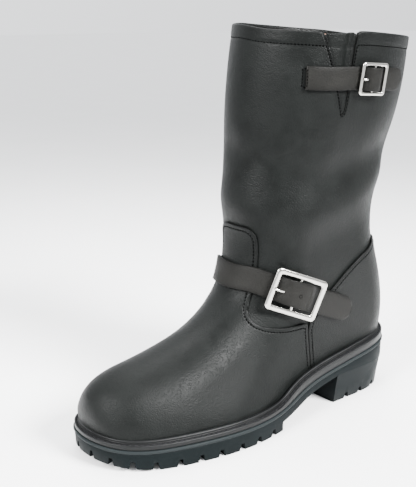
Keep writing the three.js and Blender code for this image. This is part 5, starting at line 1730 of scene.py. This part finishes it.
# Sky: colour, the side where it is brightest, and its strength from dark to bright over that direction
SKY_COLOUR = (0.96, 0.975, 1.0, 1.0)
BRIGHT_SIDE = (-0.62, -0.38, 0.69)
SKY_SPAN = (-0.8, 0.7)
SKY_STRENGTH = (0.55, 2.3)
# Studio lights: name, azimuth, elevation, distance, size and power; all aim at one place and spread alike
LIGHTS = [
    ("key_light", 108.0, 36.0, 2.1, (0.95, 0.7), 24.0),
    ("front_light", 8.0, 34.0, 2.1, (0.95, 1.2), 15.0),
    ("top_light", -120.0, 68.0, 1.8, (1.2, 1.2), 6.0),
]
LIGHTS_AIM = Vector((0.0, -0.10, 0.12))
LIGHTS_SPREAD = 46.0


def aimed(obj, place, target):
    obj.location = Vector(place)
    obj.rotation_euler = (Vector(target) - Vector(place)).to_track_quat("-Z", "Y").to_euler()


def softbox(name, azimuth, elevation, distance, size, power):
    """Rectangular studio light with a narrowed spread, aimed at the boot from a direction."""
    light = bpy.data.lights.new(name, "AREA")
    light.shape = "RECTANGLE"
    light.size, light.size_y = size
    light.energy = power
    light.spread = math.radians(LIGHTS_SPREAD)
    a, e = math.radians(azimuth), math.radians(elevation)
    back = Vector((math.sin(a) * math.cos(e), -math.cos(a) * math.cos(e), math.sin(e)))
    aimed(link(bpy.data.objects.new(name, light)), LIGHTS_AIM + back * distance, LIGHTS_AIM)


class BOOT_OT_stage(bpy.types.Operator):
    """Pale paper floor, soft studio light and the camera"""

    bl_idname = "boot.stage"
    bl_label = "Stage"

    def execute(self, context):
        half = FLOOR_HALF
        corners = [(-half, -half, 0), (half, -half, 0), (half, half, 0), (-half, half, 0)]
        mesh = bpy.data.meshes.new("paper_floor")
        mesh.from_pydata(corners, [], [(0, 1, 2, 3)])
        mesh.materials.append(finish_for("floor"))
        link(bpy.data.objects.new("paper_floor", mesh))

        world = bpy.data.worlds.new("studio_world")
        world.use_nodes = True
        background = world.node_tree.nodes["Background"]
        background.inputs["Color"].default_value = SKY_COLOUR
        sky = Shading(world.node_tree)
        towards = sky.node("ShaderNodeTexCoord")
        aim = {0: towards, 1: BRIGHT_SIDE}
        side = sky.node("ShaderNodeVectorMath", {"operation": "DOT_PRODUCT"}, aim, "Value")
        span = {"Value": side, "From Min": SKY_SPAN[0], "From Max": SKY_SPAN[1],
                "To Min": SKY_STRENGTH[0], "To Max": SKY_STRENGTH[1]}
        sky.feed(background.inputs["Strength"], sky.node("ShaderNodeMapRange", {}, span))
        context.scene.world = world

        for light in LIGHTS:
            softbox(*light)

        camera = bpy.data.cameras.new("camera")
        camera.lens = LENS
        camera.sensor_width = SENSOR
        camera.sensor_fit = "AUTO"
        camera.clip_start = NEAR_CLIP
        obj = link(bpy.data.objects.new("camera", camera))
        aimed(obj, [v * MM for v in EYE], [v * MM for v in TARGET])
        context.scene.camera = obj
        return {"FINISHED"}


# Panel and registration

STEPS = ("shaft", "panels", "insole", "straps", "buckles", "welt", "sole", "stitching", "stage")


class BOOT_PT_maker(bpy.types.Panel):
    """Makes the boot piece by piece"""

    bl_label = "Engineer Boot"
    bl_space_type = "VIEW_3D"
    bl_region_type = "UI"
    bl_category = "Boot"

    def draw(self, context):
        for step in STEPS:
            self.layout.operator("boot." + step)
        for group in (context.scene.boot_sizes, context.scene.boot_colours):
            box = self.layout.box()
            for name in group.__annotations__:
                box.prop(group, name)


CLASSES = (
    BootColours, BootSizes, BOOT_OT_shaft, BOOT_OT_panels, BOOT_OT_insole, BOOT_OT_straps, BOOT_OT_buckles,
    BOOT_OT_welt, BOOT_OT_sole, BOOT_OT_stitching, BOOT_OT_stage, BOOT_PT_maker,
)


def register():
    for cls in CLASSES:
        bpy.utils.register_class(cls)
    bpy.types.Scene.boot_colours = PointerProperty(type=BootColours)
    bpy.types.Scene.boot_sizes = PointerProperty(type=BootSizes)


def unregister():
    del bpy.types.Scene.boot_sizes
    del bpy.types.Scene.boot_colours
    for cls in reversed(CLASSES):
        bpy.utils.unregister_class(cls)


def main():
    register()
    for step in STEPS:
        getattr(bpy.ops.boot, step)()


if __name__ == "__main__":
    main()
